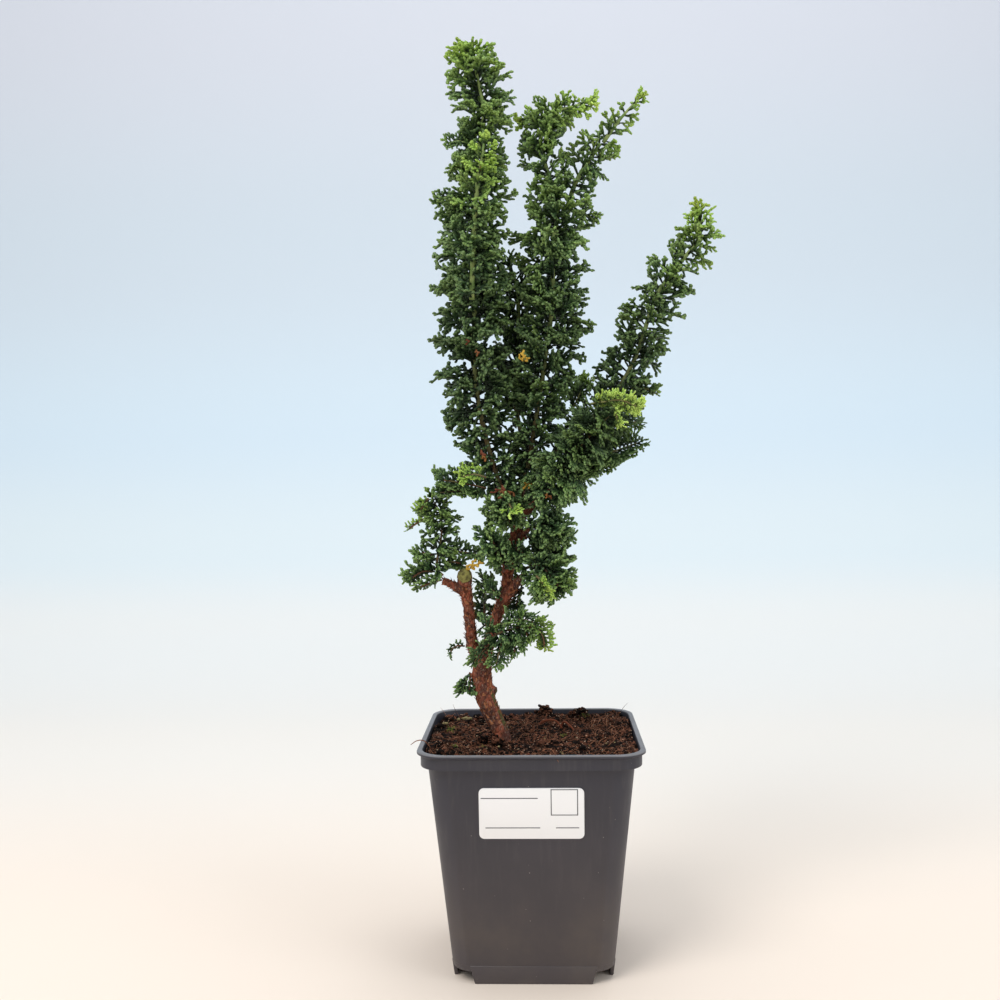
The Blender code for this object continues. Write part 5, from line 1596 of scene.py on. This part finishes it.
def pot_material():
    """Matt black plastic: streaked and dusty at its foot, with painted light towards the foot, painted shade
    towards the top and a painted highlight on the lip.
    """
    material, tree, shader = new_material("matt black plastic", 0.45, 0.45)
    place = object_place(tree)
    streak = noise_value(tree, object_place(tree, (1, 1, 0.06)), 420.0, 3.0)
    cloud = noise_value(tree, place, 28.0, 4.0, 0.6)
    speck = noise_value(tree, place, 700.0, 2.0)
    height = parts_of(tree, place)["Z"]
    low = ramp(tree, height, 0.0, 0.085, 1.0, 0.0)
    high = ramp(tree, height, 0.06, 0.11)
    base = add_patches(tree, place, 28.0, 4.0, (0.35, 0.70), (0.037, 0.035, 0.044), (0.048, 0.044, 0.054))
    # Painted shade: the body grows darker and bluer towards the top
    base = mix_colour(tree, high, base, (0.030, 0.030, 0.042))
    # Painted highlight: a pale grey band along the top of the lip
    lip = ramp(tree, height, LIP_TOP - 0.0008, LIP_TOP - 0.0002)
    base = cover(tree, base, lip, (0.0, 1.0, 0.0, 0.8), (0.210, 0.205, 0.215))
    base = cover(tree, base, streak, (0.5, 0.75, 0.0, 0.22), (0.085, 0.078, 0.080))
    # Painted light: the body grows lighter and warmer towards its foot; the dust patches below lie only in
    # this band
    base = mix_colour(tree, low, base, (0.062, 0.052, 0.056))
    dusty = maths(tree, "MULTIPLY", low, ramp(tree, cloud, 0.3, 0.75))
    base = cover(tree, base, dusty, (0.0, 1.0, 0.0, 0.5), (0.110, 0.090, 0.076))
    base = cover(tree, base, speck, (0.76, 0.80, 0.0, 0.8), (0.420, 0.380, 0.330))
    tree.links.new(ramp(tree, cloud, 0.3, 0.7, 0.38, 0.56), shader.inputs["Roughness"])
    finish_surface(tree, shader, base, add_grain(tree, place, 2600.0, 2.0, 0.00004, 0.6)["Normal"])
    return material


# Label


def label_place():
    """Where the sticker lies on the leaning front wall."""
    lean = math.atan2(BODY_TOP_HALF - BODY_BOTTOM_HALF, BAND_Z - FLOOR_Z)
    middle = Matrix.Translation((0, -body_half(LABEL_HEIGHT) - LABEL_CLEAR, LABEL_HEIGHT))
    return middle @ Matrix.Rotation(math.pi / 2 + lean, 4, "X")


def make_sticker(material):
    """The sticker, with rounded corners and a soft edge."""
    bm = bmesh.new()
    bmesh.ops.create_grid(bm, x_segments=1, y_segments=1, size=0.5)
    bmesh.ops.scale(bm, verts=bm.verts, vec=(*LABEL_SIZE, 1))
    bmesh.ops.bevel(
        bm, geom=bm.verts[:], offset=LABEL_CORNER, segments=8, profile=0.5, affect="VERTICES", material=-1
    )
    made = bmesh.ops.extrude_face_region(bm, geom=bm.faces[:])["geom"]
    bmesh.ops.translate(bm, verts=of_kind(made, bmesh.types.BMVert), vec=(0, 0, LABEL_THICK))
    edge = of_kind(made, bmesh.types.BMEdge)
    bmesh.ops.bevel(bm, geom=edge, offset=0.12, segments=2, profile=0.5, affect="EDGES", material=-1)
    bmesh.ops.transform(bm, matrix=label_place(), verts=bm.verts)
    bmesh.ops.recalc_face_normals(bm, faces=bm.faces)
    new_piece("sticker", bm, material, ["label"], 40)


def make_rules(material):
    """The ruled lines and the empty box on the sticker."""
    bars = [(x, y, long, INK_LINE_WIDTH) for x, y, long in INK_LINES]
    x, y, side = INK_BOX
    bars += [(x, y + way * side / 2, side + INK_LINE_WIDTH, INK_LINE_WIDTH) for way in (-1, 1)]
    bars += [(x + way * side / 2, y, INK_LINE_WIDTH, side) for way in (-1, 1)]
    bm = bmesh.new()
    for x, y, wide, tall in bars:
        middle = label_place() @ Matrix.Translation((x, y, LABEL_THICK))
        bmesh.ops.create_cube(bm, size=1, matrix=middle @ Matrix.Diagonal((wide, tall, 2 * INK_THICK, 1)))
    new_piece("sticker_rules", bm, material)


def plain_material(name, base, roughness):
    """A material of one colour."""
    material, _, shader = new_material(name, roughness)
    shader.inputs["Base Color"].default_value = colour(base)
    return material


# Studio


def make_sweep():
    """The pale sheet that lies under the pot and bends up behind it."""
    bend_start = SWEEP_BACK - SWEEP_BEND
    bm = bmesh.new()
    bmesh.ops.create_grid(bm, x_segments=1, y_segments=1, size=1)
    for vert in bm.verts:
        vert.co = (vert.co.x * SWEEP_HALF_WIDTH, SWEEP_FRONT if vert.co.y < 0 else bend_start, 0)
    rim = [edge for edge in bm.edges if min(vert.co.y for vert in edge.verts) > SWEEP_FRONT / 2]
    for step in range(1, SWEEP_STEPS + 1):
        angle = step * math.pi / (2 * SWEEP_STEPS)
        made = bmesh.ops.extrude_edge_only(bm, edges=rim)["geom"]
        rim = [edge for edge in of_kind(made, bmesh.types.BMEdge) if edge.is_boundary]
        rim = [edge for edge in rim if abs(edge.verts[0].co.x - edge.verts[1].co.x) > 1]
        for vert in of_kind(made, bmesh.types.BMVert):
            vert.co.y = bend_start + SWEEP_BEND * math.sin(angle)
            vert.co.z = SWEEP_BEND * (1 - math.cos(angle))
    made = bmesh.ops.extrude_edge_only(bm, edges=rim)["geom"]
    for vert in of_kind(made, bmesh.types.BMVert):
        vert.co.z = SWEEP_HEIGHT
    mesh = bpy.data.meshes.new("sweep")
    bm.to_mesh(mesh)
    bm.free()
    mesh.shade_smooth()
    sweep = bpy.data.objects.new("sweep", mesh)
    mesh.materials.append(sweep_material())
    bpy.context.scene.collection.objects.link(sweep)


def make_lights():
    """Three large soft lamps and a pale surrounding."""
    for name, place, aim, size, power, tone in LIGHTS:
        lamp = bpy.data.lights.new(name, "AREA")
        lamp.shape = "DISK"
        lamp.size = size
        lamp.energy = power
        lamp.color = tone
        obj = bpy.data.objects.new(name, lamp)
        obj.location = place
        obj.rotation_mode = "QUATERNION"
        obj.rotation_quaternion = (Vector(aim) - Vector(place)).to_track_quat("-Z", "Y")
        bpy.context.scene.collection.objects.link(obj)
    world = bpy.data.worlds.new("studio")
    bpy.context.scene.world = world
    world.use_nodes = True
    back = world.node_tree.nodes["Background"]
    back.inputs["Color"].default_value = colour(WORLD_COLOUR)
    back.inputs["Strength"].default_value = WORLD_STRENGTH
    bpy.context.scene.view_settings.view_transform = "Standard"


def sweep_material():
    """Warm near the pot, neutral further off, and then a soft blue upwards."""
    material, tree, shader = new_material("pale sweep", 0.9, 0.1)
    place = parts_of(tree, object_place(tree))
    base = cover(tree, (0.890, 0.772, 0.672), place["Y"], (0.0, 0.45), (0.850, 0.805, 0.752))
    base = cover(tree, base, place["Y"], (0.45, 0.85), (0.805, 0.808, 0.795))
    for low, high, tone in SWEEP_TONES:
        base = cover(tree, base, place["Z"], (low, high), tone)
    finish_surface(tree, shader, base)
    return material


def make_camera():
    """The photograph's view: level with the middle of the tree, a little from its left."""
    sine, cosine = math.sin(CAMERA_TURN), math.cos(CAMERA_TURN)
    dip = math.cos(CAMERA_TILT)
    ahead = Vector((sine * dip, cosine * dip, -math.sin(CAMERA_TILT)))
    level = Vector((cosine, -sine, 0))
    up = level.cross(ahead)
    right = math.cos(CAMERA_ROLL) * level + math.sin(CAMERA_ROLL) * up
    over = math.cos(CAMERA_ROLL) * up - math.sin(CAMERA_ROLL) * level
    lens = bpy.data.cameras.new("camera")
    lens.lens = CAMERA_LENS
    lens.sensor_width = CAMERA_SENSOR
    camera = bpy.data.objects.new("camera", lens)
    place = turned_axes(right, over, -ahead)
    place.translation = Vector(CAMERA_PLACE) + ORIGIN
    camera.matrix_world = place
    bpy.context.scene.collection.objects.link(camera)
    bpy.context.scene.camera = camera


def main():
    """Builds the tree from its leaves down to the pot, and then the studio round them."""
    grain_group()
    patches_group()
    fronds = Fronds()
    make_foliage(fronds, Sharing(), leaf_material())
    make_dead_leaves(fronds, dry_material())
    make_wood(bark_material())
    make_inner_stems(stem_material())
    make_bark_scales(tinted_material("bark flakes"))
    mix = soil_material()
    make_soil(mix)
    make_crumbs(mix)
    make_fibres(tinted_material("root fibres"))
    make_roots(tinted_material("orange roots"))
    make_grit(tinted_material("cream grains"))
    make_moss(tinted_material("moss"))
    make_pot(pot_material())
    make_sticker(plain_material("paper sticker", (0.86, 0.855, 0.86), 0.5))
    make_rules(plain_material("grey ink", (0.10, 0.10, 0.11), 0.6))
    make_sweep()
    make_lights()
    make_camera()


main()
